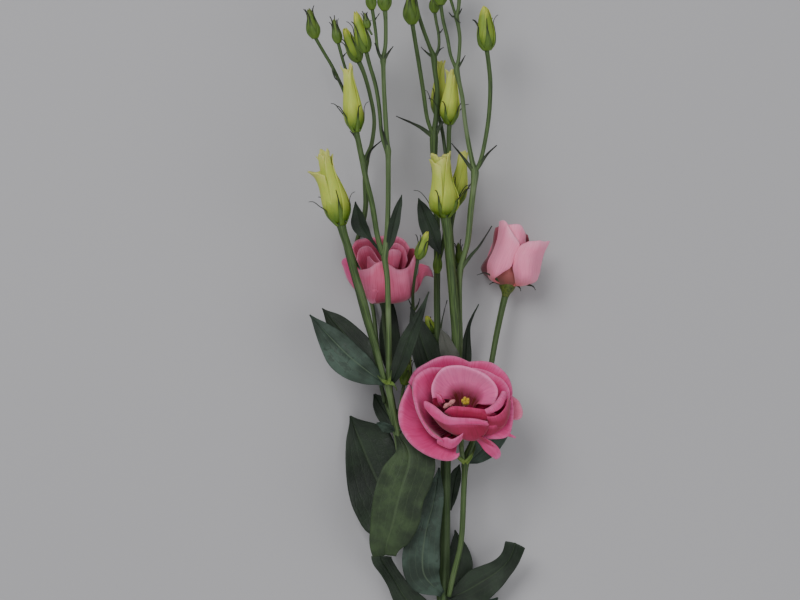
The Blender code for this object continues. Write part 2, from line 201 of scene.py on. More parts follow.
class Finish:
    """A material under construction, with its Principled shader."""

    def __init__(self, name, roughness=0.5, **sockets):
        self.material = bpy.data.materials.new(name)
        self.material.use_nodes = True
        self.tree = self.material.node_tree
        self.shader = self.tree.nodes["Principled BSDF"]
        self.shader.inputs["Roughness"].default_value = roughness
        for label, value in sockets.items():
            self.shader.inputs[label.replace("_", " ")].default_value = value

    def node(self, kind, settings=None, values=None, output=0):
        """One node: its settings, then the values or links of its sockets. Gives one output."""
        node = self.tree.nodes.new(kind)
        for label, value in (settings or {}).items():
            if label == "stops":
                ramp = node.color_ramp
                while len(ramp.elements) < len(value):
                    ramp.elements.new(0.5)
                for element, (place, colour) in zip(ramp.elements, value):
                    element.position = place
                    element.color = (*colour, 1)
            else:
                setattr(node, label, value)
        for label, value in (values or {}).items():
            self.feed(node.inputs[label], value)
        return Wire(self, node.outputs[output])

    def feed(self, socket, value):
        if isinstance(value, Wire):
            self.tree.links.new(value.socket, socket)
        elif isinstance(value, (tuple, list)) and socket.type == "RGBA":
            socket.default_value = (*value, 1)
        else:
            socket.default_value = value

    def set(self, label, value):
        self.feed(self.shader.inputs[label], value)

    def blade(self):
        """The surface's own place: s across and t along."""
        place = self.node("ShaderNodeUVMap", dict(uv_map="blade"))
        parts = self.node("ShaderNodeSeparateXYZ", None, {0: place})
        return parts, Wire(self, parts.socket.node.outputs[1])

    def tone(self):
        return self.node("ShaderNodeAttribute", dict(attribute_name="tone"), None, "Fac")

    def point(self, x, y, z=0.0):
        return self.node("ShaderNodeCombineXYZ", None, {0: x, 1: y, 2: z})

    def room(self):
        return self.node("ShaderNodeTexCoord", None, None, "Object")

    def noise(self, where, scale, detail=2.0, roughness=0.5, distortion=0.0):
        return self.node("ShaderNodeTexNoise", None, {"Vector": where, "Scale": scale, "Detail": detail,
                                                      "Roughness": roughness, "Distortion": distortion})

    def around(self, s, t, width, length):
        """A place on a round bar, so that noise has no seam where its two sides meet."""
        turn = s * (2 * math.pi)
        return self.point(turn.sine() * width, (turn + QUARTER_TURN).sine() * width, t * length)

    def ramp(self, value, stops):
        return self.node("ShaderNodeValToRGB", dict(stops=stops), {0: value})

    def between(self, value, low, high):
        """0 below low, 1 above high, and smooth between."""
        return self.node("ShaderNodeMapRange", dict(interpolation_type="SMOOTHSTEP"),
                         {"Value": value, "From Min": low, "From Max": high})

    def mix(self, share, first, second, blend="MIX"):
        settings = dict(data_type="RGBA", blend_type=blend)
        return self.node("ShaderNodeMix", settings, {0: share, 6: first, 7: second}, 2)

    def bump(self, height, strength, distance=0.001):
        normal = self.node("ShaderNodeBump", None, {"Height": height, "Strength": strength,
                                                    "Distance": distance})
        self.set("Normal", normal)


def tint(red, green, blue):
    """A colour from its everyday 0 to 255 values."""
    def linear(value):
        value /= 255
        return value / 12.92 if value <= 0.04045 else ((value + 0.055) / 1.055) ** 2.4
    return linear(red), linear(green), linear(blue)


# ---- finishes ------------------------------------------------------------------------------------------
def leaf_finish(name, dark, bloom, vein, spots=0.5):
    finish = Finish(name, Specular_IOR_Level=0.45)
    s, t = finish.blade()
    across = abs(s - 0.5) * 2
    room = finish.room()
    cloud = finish.noise(room, 70.0, 3.0)
    waver = finish.noise(room, 160.0, 2.0)
    mottling = finish.between(cloud, 0.3, 0.7)
    colour = finish.mix(mottling, dark, bloom)
    wet = finish.between(finish.noise(room, 230.0, 2.0, 0.5, 0.6), 0.53, 0.6) * spots
    wet = wet * finish.between(cloud, 0.42, 0.55)
    colour = finish.mix(wet, colour, dark)
    midrib = 1 - finish.between(across, 0.02, 0.075)
    nerve_place = across + (waver - 0.5) * 0.1
    nerves = (1 - finish.between(abs(nerve_place - NERVES[0]), 0.0, 0.035)) \
        + (1 - finish.between(abs(nerve_place - NERVES[1]), 0.0, 0.03))
    fade = 1 - finish.between(t, 0.75, 1.0)
    lines = (midrib + nerves * 0.35 * fade).held()
    colour = finish.mix(lines * 0.5, colour, vein)
    finish.set("Base Color", colour)
    finish.set("Roughness", 0.62 - wet * 0.25)
    net = finish.node("ShaderNodeTexVoronoi", dict(feature="DISTANCE_TO_EDGE"),
                      {"Vector": finish.point(s * 7, t * 16), "Scale": 2.0}, 0)
    height = lines * -0.7 + finish.between(net, 0.0, 0.12) * 0.25 + finish.noise(room, 500.0, 2.0) * 0.25
    finish.bump(height, 0.45, 0.0006)
    return finish.material


def stem_finish(name, dark, light, blush):
    finish = Finish(name, Specular_IOR_Level=0.4)
    s, t = finish.blade()
    room = finish.room()
    streaks = finish.noise(finish.around(s, t, 0.5, 1.2), 6.0, 4.0, 0.6)
    cloud = finish.noise(room, 45.0, 3.0)
    colour = finish.mix(finish.between(streaks, 0.3, 0.66), dark, light)
    colour = finish.mix(finish.between(cloud, 0.5, 0.72) * 0.6, colour, blush)
    finish.set("Base Color", colour)
    finish.set("Roughness", 0.5 + cloud * 0.15)
    finish.bump(streaks + finish.noise(room, 900.0) * 0.3, 0.3, 0.0005)
    return finish.material


def petal_finish(name, claw, body, rim, vein, reach):
    """Soft petal: its claw's colour fades into its body's over the reach, and its lip is paler. The dark claw
    is partly the petal's own colour and partly painted shade where the petals go deep into the flower.
    """
    finish = Finish(name, 0.55, Subsurface_Weight=0.12, Subsurface_Scale=0.002,
                    Sheen_Weight=0.25, Sheen_Roughness=0.5, Specular_IOR_Level=0.3)
    finish.shader.inputs["Subsurface Radius"].default_value = (1.0, 0.4, 0.4)
    s, t = finish.blade()
    room = finish.room()
    cloud = finish.noise(room, 85.0, 3.0)
    place = t + (cloud - 0.5) * 0.22
    # dark at the claw: partly the petal's own colour, partly painted shade deep in the flower
    colour = finish.ramp(place, [(reach[0], claw), (reach[1], body), (0.88, body), (1.0, rim)])
    fan = finish.noise(finish.point(s * 46, t * 2.4, finish.tone() * 9), 1.0, 3.0, 0.62)
    streaks = finish.between(fan, 0.42, 0.68)
    colour = finish.mix(streaks * (0.7 - t * 0.35).held(), colour, vein)
    light = finish.between(finish.noise(room, 55.0, 2.0), 0.45, 0.75) * 0.4
    colour = finish.mix(light * t, colour, rim)
    finish.set("Base Color", colour)
    finish.bump(fan + finish.noise(room, 700.0, 2.0) * 0.15, 0.22, 0.0007)
    return finish.material


def bud_finish(name, foot, body, tip, vein):
    finish = Finish(name, 0.5, Subsurface_Weight=0.12, Subsurface_Scale=0.002, Specular_IOR_Level=0.35)
    s, t = finish.blade()
    room = finish.room()
    cloud = finish.noise(room, 120.0, 2.0)
    colour = finish.ramp(t + (cloud - 0.5) * 0.2, [(0.08, foot), (0.42, body), (0.75, body), (1.0, tip)])
    fan = finish.noise(finish.around(s, t, 1.6, 1.3), 5.0, 3.0, 0.6)
    colour = finish.mix(finish.between(fan, 0.48, 0.68) * 0.5, colour, vein)
    finish.set("Base Color", colour)
    finish.bump(fan, 0.25, 0.0007)
    return finish.material


def sepal_finish(name, foot, body, tip):
    """Green at the foot and along the keel, and dark along the long tip."""
    finish = Finish(name, 0.5, Specular_IOR_Level=0.35)
    s, t = finish.blade()
    cloud = finish.noise(finish.room(), 300.0, 2.0)
    colour = finish.ramp(t + (cloud - 0.5) * 0.12, [(0.0, foot), (0.28, body), (0.42, body), (0.62, tip)])
    keel = 1 - finish.between(abs(s - 0.5), 0.04, 0.16)
    colour = finish.mix(keel * 0.35, colour, foot)
    finish.set("Base Color", colour)
    finish.bump(keel + cloud * 0.5, 0.3, 0.0005)
    return finish.material


def dust_finish(name, dark, light, grain):
    """Pollen and stigma: a fine grained, matt surface."""
    finish = Finish(name, 0.75, Sheen_Weight=0.3)
    speck = finish.noise(finish.room(), grain, 3.0, 0.6)
    finish.set("Base Color", finish.mix(finish.between(speck, 0.35, 0.65), dark, light))
    finish.bump(speck, 0.6, 0.0004)
    return finish.material


FINISHES = {
    "stem": stem_finish("green_stem", tint(42, 62, 32), tint(98, 120, 72), tint(112, 128, 92)),
    "stem_mid": stem_finish("middle_stem", tint(36, 54, 26), tint(80, 104, 54), tint(88, 106, 68)),
    "stem_dark": stem_finish("shaded_stem", tint(34, 50, 26), tint(60, 80, 42), tint(68, 86, 52)),
    "stem_lower": stem_finish("lower_stem", tint(34, 50, 26), tint(70, 94, 50), tint(78, 98, 62)),
    "leaf": leaf_finish("bloomed_leaf", tint(28, 44, 32), tint(64, 84, 72), tint(88, 104, 82), 0.6),
    "leaf_big": leaf_finish("broad_leaf", tint(26, 41, 19), tint(59, 79, 45), tint(72, 91, 58), 0.3),
    "leaf_dark": leaf_finish("shaded_leaf", tint(18, 30, 18), tint(38, 54, 36), tint(60, 76, 50), 0.3),
    "leaf_under": leaf_finish("leaf_underside", tint(62, 66, 58), tint(92, 94, 86), tint(102, 106, 94), 0.1),
    "rose": petal_finish("rose_petal", tint(140, 4, 46), tint(212, 62, 126), tint(226, 112, 166),
                         tint(180, 28, 88), (0.3, 0.72)),
    # painted shade: the rose petal with a much darker claw, for the shade deep in flower A's left cup
    "cup": petal_finish("cup_petal", tint(84, 0, 28), tint(212, 62, 126), tint(226, 112, 166),
                        tint(180, 28, 88), (0.48, 0.68)),
    # painted light: a lighter copy of the rose petal that makes flower A's upper cup look lit
    "rose_lit": petal_finish("rose_petal_painted_light", tint(116, 42, 22), tint(246, 114, 172), tint(248, 138, 188),
                           tint(208, 70, 136), (0.48, 0.68)),
    # painted shade: a darker copy of the rose petal for the folds and lips deep inside flower A
    "rose_in_shade": petal_finish("rose_petal_painted_shade", tint(78, 0, 26), tint(156, 6, 62), tint(206, 58, 116),
                            tint(118, 2, 36), (0.25, 0.66)),
    # painted shade: a dull dark copy of the petal colour for the petals of flowers B and C that lie behind
    # the others
    "back_petal_in_shade": petal_finish("back_petal_painted_shade", tint(92, 30, 36), tint(132, 42, 62), tint(172, 78, 98),
                           tint(104, 24, 44), (0.2, 0.6)),
    "dusky": petal_finish("dusky_petal", tint(118, 6, 34), tint(222, 102, 140), tint(230, 138, 172),
                          tint(184, 44, 84), (0.28, 0.66)),
    "pale": petal_finish("pale_petal", tint(206, 100, 92), tint(252, 144, 178), tint(255, 168, 196),
                         tint(218, 98, 138), (0.12, 0.4)),
    "claw": petal_finish("petal_claw", tint(116, 66, 56), tint(190, 108, 108), tint(206, 130, 128),
                         tint(168, 78, 72), (0.2, 0.7)),
    "bud": bud_finish("opening_bud", tint(80, 112, 18), tint(184, 198, 78), tint(206, 208, 112),
                      tint(150, 170, 50)),
    "bud_middle": bud_finish("yellow_green_bud", tint(76, 106, 30), tint(130, 154, 50), tint(196, 200, 76),
                             tint(92, 120, 38)),
    "bud_green": bud_finish("green_bud", tint(54, 80, 26), tint(94, 120, 44), tint(104, 120, 52),
                            tint(50, 76, 24)),
    "sepal": sepal_finish("calyx", tint(92, 122, 34), tint(78, 104, 38), tint(34, 38, 30)),
    "bract": sepal_finish("bract", tint(76, 94, 56), tint(50, 62, 42), tint(34, 37, 30)),
    "green_foot": sepal_finish("leaf_foot", tint(126, 148, 68), tint(98, 124, 56), tint(64, 84, 42)),
    "receptacle": stem_finish("receptacle", tint(44, 64, 22), tint(96, 108, 42), tint(128, 124, 56)),
    "anther": dust_finish("anther", tint(164, 130, 6), tint(206, 178, 20), 1500.0),
    "stigma": dust_finish("stigma", tint(186, 110, 112), tint(214, 150, 150), 900.0),
}


# ---- bars: stems and stalks ----------------------------------------------------------------------------
def bar_place(sections, rows, ridges=0.05, twist=0.6):
    """Place function of a slightly ridged round bar along sections of X, Y, Z and radius."""
    run = Run(sections)
    rings = []
    side = None
    for row in range(rows + 1):
        share = row / rows
        x, y, z, radius = run.at(share)
        along = run.heading(share)
        side = along.orthogonal() if side is None else side
        side = (side - along * side.dot(along)).normalized()
        rings.append((Vector((x, y, z)), side.copy(), along.cross(side), radius))

    def place(s, t):
        centre, first, second, radius = rings[round(t * rows)]
        angle = 2 * math.pi * s
        ridge = 1 + ridges * (math.cos(4 * angle + twist * t * 2 * math.pi) - 1)
        return centre + (first * math.cos(angle) + second * math.sin(angle)) * radius * ridge
    return place


def stem(name, sections, finish, nodes=(), sides=20, spacing=2.2, slot="stem"):
    rows = max(8, int(Run(sections).length / spacing))
    piece = Piece(name)
    piece.bar((sides, rows), bar_place(sections, rows))
    return piece.done(FINISHES[finish], slot, nodes)


# ---- how a leaf is made --------------------------------------------------------------------------------
def leaf_place(midrib, widths, facing, fold=0.25, ruffle=0.5, seed=1):
    """Place function of a leaf. widths are half widths left and right of the midrib, from foot to tip;
    facing is the way its upper face looks, once or at equal steps along it; fold lifts its sides."""
    run = Run(midrib)
    facings = Run(facing) if isinstance(facing[0], (tuple, list)) else None
    spans = Run([(share, left, right) for share, (left, right) in
                 zip(np.linspace(0, 1, len(widths)), widths)])
    random_wave = random.Random(seed)
    phase, waves = random_wave.uniform(0, 6), random_wave.uniform(2.2, 3.4)

    def place(s, t):
        side = 2 * s - 1
        centre = Vector(run.at(t)[:3])
        along = run.heading(t)
        look = Vector(facings.at(t)) if facings else Vector(facing)
        across = along.cross(look).normalized()
        up = across.cross(along)
        share = t * (len(spans.table) - 1)
        low = int(min(share, len(spans.table) - 2))
        row = spans.table[low] + (spans.table[low + 1] - spans.table[low]) * (share - low)
        width = max(0.15, float(row[1] if side < 0 else row[2]))
        out = abs(side)
        groove = 0.5 * math.exp(-(side / 0.1) ** 2)
        nerve = 0.12 * sum(math.exp(-((out - line) / 0.05) ** 2) for line in NERVES)
        wave = ruffle * out ** 2 * math.sin(phase + waves * 2 * math.pi * t + (1.3 if side > 0 else 0))
        lift = fold * width * out ** 1.6 + wave - (groove + nerve) * min(1, width / 3)
        return centre + across * side * width + up * lift
    return place


def even_widths(half, shape=(0.08, 0.62, 0.94, 1.0, 0.86, 0.56, 0.03)):
    return [(half * share, half * share) for share in shape]


def leaf(name, midrib, widths, facing, finish, node=None, fold=0.25, ruffle=0.5, seed=1, steps=(22, 44)):
    piece = Piece(name)
    piece.sheet(steps, leaf_place(midrib, widths, facing, fold, ruffle, seed))
    return piece.done(FINISHES[finish], "leaf", (node,) if node else (), LEAF_WALL)


# ---- petals --------------------------------------------------------------------------------------------
def petal_place(foot, axis, profile, middle, spread, rounding=0.16, cup=0.0, ruffle=1.0, waves=3.0,
                lift=1.6, narrow=0.5, point=0.0, twist=0.0, seed=1):
    """Place function of a petal. profile is radius and height from claw to lip; middle and spread are
    angles in degrees round the axis; cup raises its sides; lift lays one side over the next petal, and
    twist winds it round the axis."""
    run = Run(profile)
    along, right, back = axis_frame(axis)
    foot = Vector(foot)
    chance = random.Random(seed)
    phase, second = chance.uniform(0, 6), chance.uniform(0, 6)

    def place(s, t):
        side = 2 * s - 1
        edge = 1 - rounding * abs(side) ** 2.4 - point * abs(side) \
            + 0.018 * math.sin(5 * side + phase) + 0.01 * math.sin(13 * side + second)
        share = t * edge
        radius, up = run.at(share)
        ahead, behind = run.at(share + 0.03), run.at(share - 0.03)
        slope = Vector((ahead[0] - behind[0], ahead[1] - behind[1])).normalized()
        wave = ruffle * t ** 3 * (0.35 + 0.65 * abs(side)) * math.sin(waves * math.pi * side + phase) \
            + 0.3 * ruffle * t ** 2 * math.sin(2.1 * waves * math.pi * side + second)
        off = lift * side * 0.5 + wave + cup * side ** 2 * t ** 1.5
        radius, up = radius - slope.y * off, up + slope.x * off
        fullness = narrow + (1 - narrow) * math.sin(math.pi / 2 * min(1, t * 1.7))
        angle = math.radians(middle + side * spread / 2 * fullness + twist * t)
        return foot + along * up + (right * math.cos(angle) + back * math.sin(angle)) * radius
    return place


def rows_place(rows, foot, axis, seed, claw=3.0, ruffle=0.25):
    """Place function of a petal through rows of points, which starts at a narrow claw round the foot."""
    along, right, back = axis_frame(axis)
    foot = Vector(foot)
    start = []
    for point in rows[0]:
        away = Vector(point) - foot
        away = (away - along * away.dot(along)).normalized()
        start.append(foot + along * 0.6 + away * claw)
    runs = [Run(row) for row in [start, *rows]]
    chance = random.Random(seed)
    phase, second = chance.uniform(0, 6), chance.uniform(0, 6)
    columns = {}

    def place(s, t):
        key = round(s * 1000)
        if key not in columns:
            columns[key] = Run([run.at(s) for run in runs])
        point = Vector(columns[key].at(t))
        wave = math.sin(9 * s + phase) + 0.6 * math.sin(19 * s + 5 * t + second)
        return point + along * (ruffle * t ** 2 * wave)
    return place


def petal(name, flower, finish, slot, rows, node=None, tone=0.5, seed=1, steps=(48, 44)):
    piece = Piece(name)
    piece.sheet(steps, rows_place(rows, flower["foot"], flower["axis"], seed), tone)
    return piece.done(FINISHES[finish], slot, (node,) if node else (), PETAL_WALL)


# ---- calyx ---------------------------------------------------------------------------------------------
def sepal_place(foot, axis, angle, path, half, seed):
    """Place function of one sepal: a narrow blade along a path of radius and height, ending in a thread."""
    along, right, back = axis_frame(axis)
    foot = Vector(foot)
    run = Run(path)
    sway = random.Random(seed).uniform(-9, 9)

    def place(s, t):
        side = 2 * s - 1
        radius, up = run.at(t)
        width = half * (0.75 + 0.25 * ease(t * 5)) * (1 - ease((t - 0.12) / 0.62)) + 0.5 * (1 - 0.55 * t)
        turn = math.radians(angle + sway * t ** 2)
        outward = right * math.cos(turn) + back * math.sin(turn)
        sideways = along.cross(outward)
        keel = 0.35 * (1 - abs(side)) * (1 - t)
        wrap = side * side * width * width / (2 * max(radius, width))
        return foot + along * up + outward * (radius + keel - wrap) + sideways * side * width
    return place


def calyx(name, foot, axis, paths, half, first=0, seed=1):
    piece = Piece(name)
    for index, path in enumerate(paths):
        angle = first + index * 360 / len(paths)
        piece.sheet((6, 22), sepal_place(foot, axis, angle, path, half, seed + index))
    return piece.done(FINISHES["sepal"], "bud", (), SEPAL_WALL)


# ---- shoots: X, Y, Z and radius, close to the CAD part's -------------------------------------------------
MAIN_STEM = [
    (4.5, -195, 3.2, 3.1), (3.5, -161, 4.5, 3.0), (2, -124, 7, 3.0), (2, -90, 9.6, 3.0), (2, -84, 10, 3.6),
    (2, -77, 10.4, 3.0), (2, -56, 12, 3.0), (2, -36, 14, 3.0), (2, -29, 14.5, 3.7), (2, -22, 15.2, 3.1),
    (2, -7, 16.5, 3.3), (2, 0, 17, 3.9), (2.2, 8, 17.2, 3.5), (2.8, 23, 17.5, 3.4), (3.2, 47, 18, 3.3),
    (3.4, 71, 18, 3.2), (4, 89, 18, 3.0), (4.5, 107, 18.5, 2.8), (4.5, 115.5, 19, 3)]
RIGHT_BRANCH = [
    (5.5, 1, 20.6, 1.6), (8.5, 15.5, 23.5, 1.9), (12, 29, 24, 1.8), (13.5, 41.5, 24.5, 1.8),
    (14.5, 65.5, 25, 1.8), (15, 76, 25.4, 1.9), (15.4, 81, 25.5, 2.5), (16.5, 87, 25.5, 2.2),
    (20, 95.5, 24.5, 1.7), (27.5, 119.5, 20.5, 1.7), (31.5, 142.5, 17.5, 1.7), (34.5, 159, 15.4, 1.8),
    (38.3, 176.5, 14, 1.95), (40.2, 184, 14, 2.3), (41, 188.5, 14.1, 4.0)]
LEFT_BRANCH = [
    (-1, 2, 19.4, 2.0), (-7.5, 17, 22.5, 2.2), (-14.5, 32, 24, 2.2), (-19, 50.5, 26, 2.2),
    (-21.5, 68.5, 28, 2.2), (-24, 87, 31, 2.3), (-25.5, 97, 33, 2.3), (-26, 102, 34, 2.8),
    (-27, 107, 35, 2.4), (-29, 118.5, 37, 2.3), (-30.5, 126, 38.4, 2.4), (-31, 131, 39.2, 3.1),
    (-30.5, 138, 41.2, 2.1), (-30.5, 156, 45.5, 1.7), (-31, 174, 49, 1.7), (-31.5, 192, 52, 1.7),
    (-33, 204, 53.6, 1.9), (-33, 208, 54, 2.4), (-32.4, 213, 54.8, 1.9), (-31.5, 222.5, 56, 1.6),
    (-31, 242.5, 57.5, 1.5), (-31, 264, 58.4, 1.6), (-31.1, 268, 58.5, 2.1), (-31.6, 273, 58.8, 1.5),
    (-32.5, 286.5, 59.5, 1.4), (-33.5, 305.5, 60.5, 1.3), (-33.9, 318, 61.3, 1.4), (-34, 321.5, 61.5, 1.9),
    (-33.4, 326, 62, 1.3), (-32.5, 332.5, 62.5, 1.2), (-32.5, 345.5, 63.5, 1.2), (-33, 352, 64, 1.6)]
REAR_SHOOT = [
    (-26.4, 102, 30, 1.6), (-32.5, 118.5, 22.5, 1.5), (-36, 131.5, 16.5, 1.4), (-38, 152.5, 9, 1.4),
    (-41, 177, 3.5, 1.3), (-47, 190, 2.2, 1.3), (-51, 203, 1.8, 1.3), (-50.5, 215, 2.1, 1.3),
    (-46.8, 226, 5, 1.5), (-44.8, 238, 10, 1.6), (-45.2, 252.5, 15, 1.5), (-44.8, 260, 18, 1.5),
    (-44.5, 263.5, 20, 2.0), (-43.5, 268, 22.5, 1.5), (-41, 274.5, 26, 1.3), (-39.5, 288.5, 30, 1.2),
    (-42, 303, 34, 1.2), (-45.5, 315.5, 37, 1.3), (-49, 323.5, 39, 1.6)]
CENTRE_SHOOT = [
    (4, 116, 19, 2.4), (2, 131.5, 17.5, 2.1), (-0.5, 149.5, 15, 2.1), (-1.5, 174, 14, 2.1),
    (-1.5, 198, 14, 2.1), (-1.5, 203, 14, 2.5), (-1.5, 208, 14.2, 2.0), (-2, 246.5, 16, 2.0),
    (-3.3, 263, 17.5, 2.0), (-3.5, 278.5, 19, 2.6), (-3.0, 284, 19.4, 1.8), (-2, 292, 20, 1.6),
    (-1.5, 307, 20.5, 1.5), (-3, 319, 20.5, 1.5), (-3.5, 326.5, 20.5, 2.0), (-4.8, 330, 20.8, 1.4),
    (-6.5, 334, 21, 1.2), (-10.5, 345, 21, 1.2), (-13.5, 355, 21, 1.2), (-15.5, 365, 21, 1.5)]
RIGHT_SHOOT = [
    (7, 117, 19.3, 1.7), (11, 134.5, 20, 1.6), (12.5, 153, 21, 1.6), (12, 174, 23, 1.6),
    (12, 190, 25, 1.6), (12, 197.5, 26, 2.3), (13.6, 203.5, 26.8, 1.8), (16.9, 216, 28.5, 1.8),
    (18.6, 234, 30, 1.9), (20.2, 247.5, 32, 1.9), (21, 257, 33, 2.5), (19.6, 262, 33, 1.6),
    (17, 275, 33, 1.4), (15, 288, 32.5, 1.3), (13.5, 301.5, 32, 1.3), (11.5, 311, 31, 1.4),
    (10, 318.5, 30.5, 1.9), (10.9, 323, 30.2, 1.2), (11.5, 327.5, 30, 1.1), (12, 337.5, 29.5, 1.1),
    (11, 345.5, 29, 1.2), (10, 351, 29, 1.6), (11.2, 355.5, 29, 1.1), (12, 366.5, 29, 1.4)]


def shoots():
    stem("main_stem_skin", MAIN_STEM, "stem_lower", ("main_stem",), sides=28, spacing=1.8)
    stem("right_branch_skin", RIGHT_BRANCH, "stem_mid", ("right_branch",))
    stem("left_branch_skin", LEFT_BRANCH, "stem", ("left_branch",))
    stem("rear_shoot_skin", REAR_SHOOT, "stem_mid", ("rear_shoot",))
    stem("centre_shoot_skin", CENTRE_SHOOT, "stem_mid", ("centre_shoot",))
    stem("right_shoot_skin", RIGHT_SHOOT, "stem", ("right_shoot",))


# ---- buds ------------------------------------------------------------------------------------------------
# stalk X, Y, Z; stalk radius; bud tip; greatest radius; kind
BUDS = {
    "bud_01": ([(-33.4, 131.5, 42.8), (-37.5, 149, 46.5), (-42, 165, 49.5), (-46, 181, 52),
                (-51, 196.5, 53.5),
                (-54.3, 209.5, 54), (-57.3, 218.5, 54),
                (-59.4, 226.5, 54)], 2.6, (-70, 269.5, 57), 7.5, "large"),
    "bud_02": ([(-34.4, 207, 54), (-37.5, 218.5, 55.5), (-40.5, 236.5, 57), (-44, 251, 58), (-47, 266, 59),
                (-49, 275.5, 60), (-50.2, 281.3, 60.5)], 1.7, (-55.6, 319.5, 62), 5.6, "large"),
    "bud_03": ([(5.5, 117, 24.5), (8.4, 138, 25.8), (9.8, 156, 27), (8.8, 174, 28), (7.6, 189, 30),
                (6.2, 204, 32),
                (4.8, 219, 33.5), (3.2, 231.5, 34.5)], 2.9, (0.3, 269.5, 38), 8.6, "wide"),
    "bud_04": ([(11.2, 198, 25.4), (8.3, 206, 23.3), (7.5, 214.5, 23), (7, 223.5, 22), (8.5, 232.5, 21.5),
                (10, 238.5, 21)], 1.2, (15, 272, 20), 5.2, "large"),
    "bud_05": ([(-0.5, 203, 14.6), (3.0, 219.5, 16), (3.6, 237.5, 17.5), (4.6, 255.5, 19.5),
                (5.5, 270.5, 20.5), (5.5, 279.5, 21.5),
                (5.9, 287.5, 23)], 1.4, (7.2, 319.5, 26), 5.5, "large"),
    "bud_06": ([(4.6, 259, 18.2), (2.5, 277, 13.5), (0.5, 288, 12), (-1, 293.5, 11.5)], 1.1,
               (1, 326, 9), 4.4, "large"),
    "bud_07": ([(21.6, 257.5, 33.6), (24.4, 264, 34.5), (26.8, 274, 34.5), (29.4, 291, 35), (30.2, 309, 36),
                (29.2, 321, 37), (28, 330.5, 38)], 1.35, (26.6, 356.5, 40), 5.2, "middle"),
    "bud_08": ([(-31.8, 267.5, 58), (-34.8, 278, 56.8), (-36.3, 294, 57), (-38.5, 307.5, 56.5),
                (-42, 319.5, 56),
                (-44.2, 328, 55.5)], 1.2, (-50.5, 351.5, 57), 4.3, "middle"),
    "bud_09": ([(-45, 264, 20.3), (-48.5, 273.5, 25), (-53, 290, 32), (-57, 303.5, 37.5), (-64, 318.5, 43),
                (-69.6, 328, 45), (-74.6, 337, 46)], 1.0, (-78.6, 354, 47), 3.7, "small"),
    "bud_10": ([(-53.2, 291.5, 32.8), (-53.0, 304.5, 37.3), (-55.5, 314.5, 41.5), (-58.5, 324.5, 44.5),
                (-61, 334, 45)], 0.9, (-63.6, 348, 45.5), 2.7, "small"),
    "bud_11": ([(-34.4, 321.5, 61.8), (-37.2, 328, 62.8), (-38.5, 339.5, 63), (-40.5, 352.5, 64)], 1.0,
               (-42.5, 367, 65), 2.8, "small"),
    "bud_12": ([(-4, 279.5, 19.6), (-7.6, 290, 21), (-10.1, 307, 23), (-12.9, 324.5, 25),
                (-15.2, 338, 26.5),
                (-16.6, 347, 28)], 1.3, (-18.5, 367, 30), 4.6, "small"),
    "bud_13": ([(-3, 326.8, 20.6), (-0.6, 332.5, 20), (-0.6, 340.5, 19), (-2, 348, 18), (-3, 354.5, 17.5)],
               0.95, (-3.5, 367.5, 17), 2.8, "small"),
    "bud_14": ([(2.6, 129.5, 19.5), (0, 146.5, 19.5), (-0.5, 162, 19.3), (-0.5, 180, 19.5), (-1, 189, 20),
                (-1.5, 197, 20.7)], 0.75, (-1, 213, 22.5), 2.4, "small"),
    "bud_15": ([(1.4, 126.5, 17), (-4.5, 140.5, 14), (-9.5, 152.5, 13.5), (-13.5, 165, 14),
                (-15.8, 174, 17.5), (-16.2, 184, 28), (-15, 195, 38), (-13, 205.3, 42)], 0.95,
               (-7.6, 221, 45), 3.2, "middle"),
    "bud_16": ([(9.6, 319, 30.4), (6.4, 327.5, 29.5), (4.5, 338, 28), (2, 348.5, 27), (0.5, 358.5, 26.5)],
               1.1, (-1, 376, 26), 4.0, "small"),
    "left_branch_bud": ([(-32.5, 346, 63.6), (-33, 352, 64)], 1.2, (-34, 369, 65), 3.8, "small"),
    "rear_shoot_bud": ([(-46, 317, 37.2), (-49, 323.5, 39)], 1.2, (-57.5, 343, 42), 4.2, "middle"),
    "centre_shoot_bud": ([(-13.8, 357, 21), (-15.5, 365, 21)], 1.2, (-18, 379, 22), 3.8, "small"),
    "right_shoot_bud": ([(11.5, 360, 29), (12, 366.5, 29)], 1.1, (11.5, 380, 29), 3.0, "small"),
    "forked_bud": ([(9.6, 351, 29), (8, 356, 29), (5.5, 364.5, 30)], 0.9, (3.4, 378, 31), 2.8, "small"),
    "axil_bud": ([(12, 197.5, 24.6), (12.5, 200, 22.5), (12.3, 202.5, 20.5)], 0.9, (11.5, 214.5, 17), 2.6,
                 "small"),
    "low_axil_bud": ([(-26.5, 104, 35), (-23.5, 119, 36), (-21.5, 130, 37)], 0.9, (-18, 145.5, 38), 3.4,
                     "small"),
    "hidden_bud": ([(3, 133, 10), (-2, 150, 9), (-4, 160.5, 9)], 1.0, (-8, 170.5, 9.5), 3.0, "middle"),
    "side_bud": ([(-40.6, 337, 62.5), (-43, 341.5, 61)], 0.7, (-45, 350, 60), 1.9, "small"),
}
LOOSE_SEPAL = [(0.36, -0.05), (0.66, 0.02), (0.97, 0.11), (1.09, 0.2), (1.28, 0.3), (1.6, 0.38), (1.95, 0.4)]
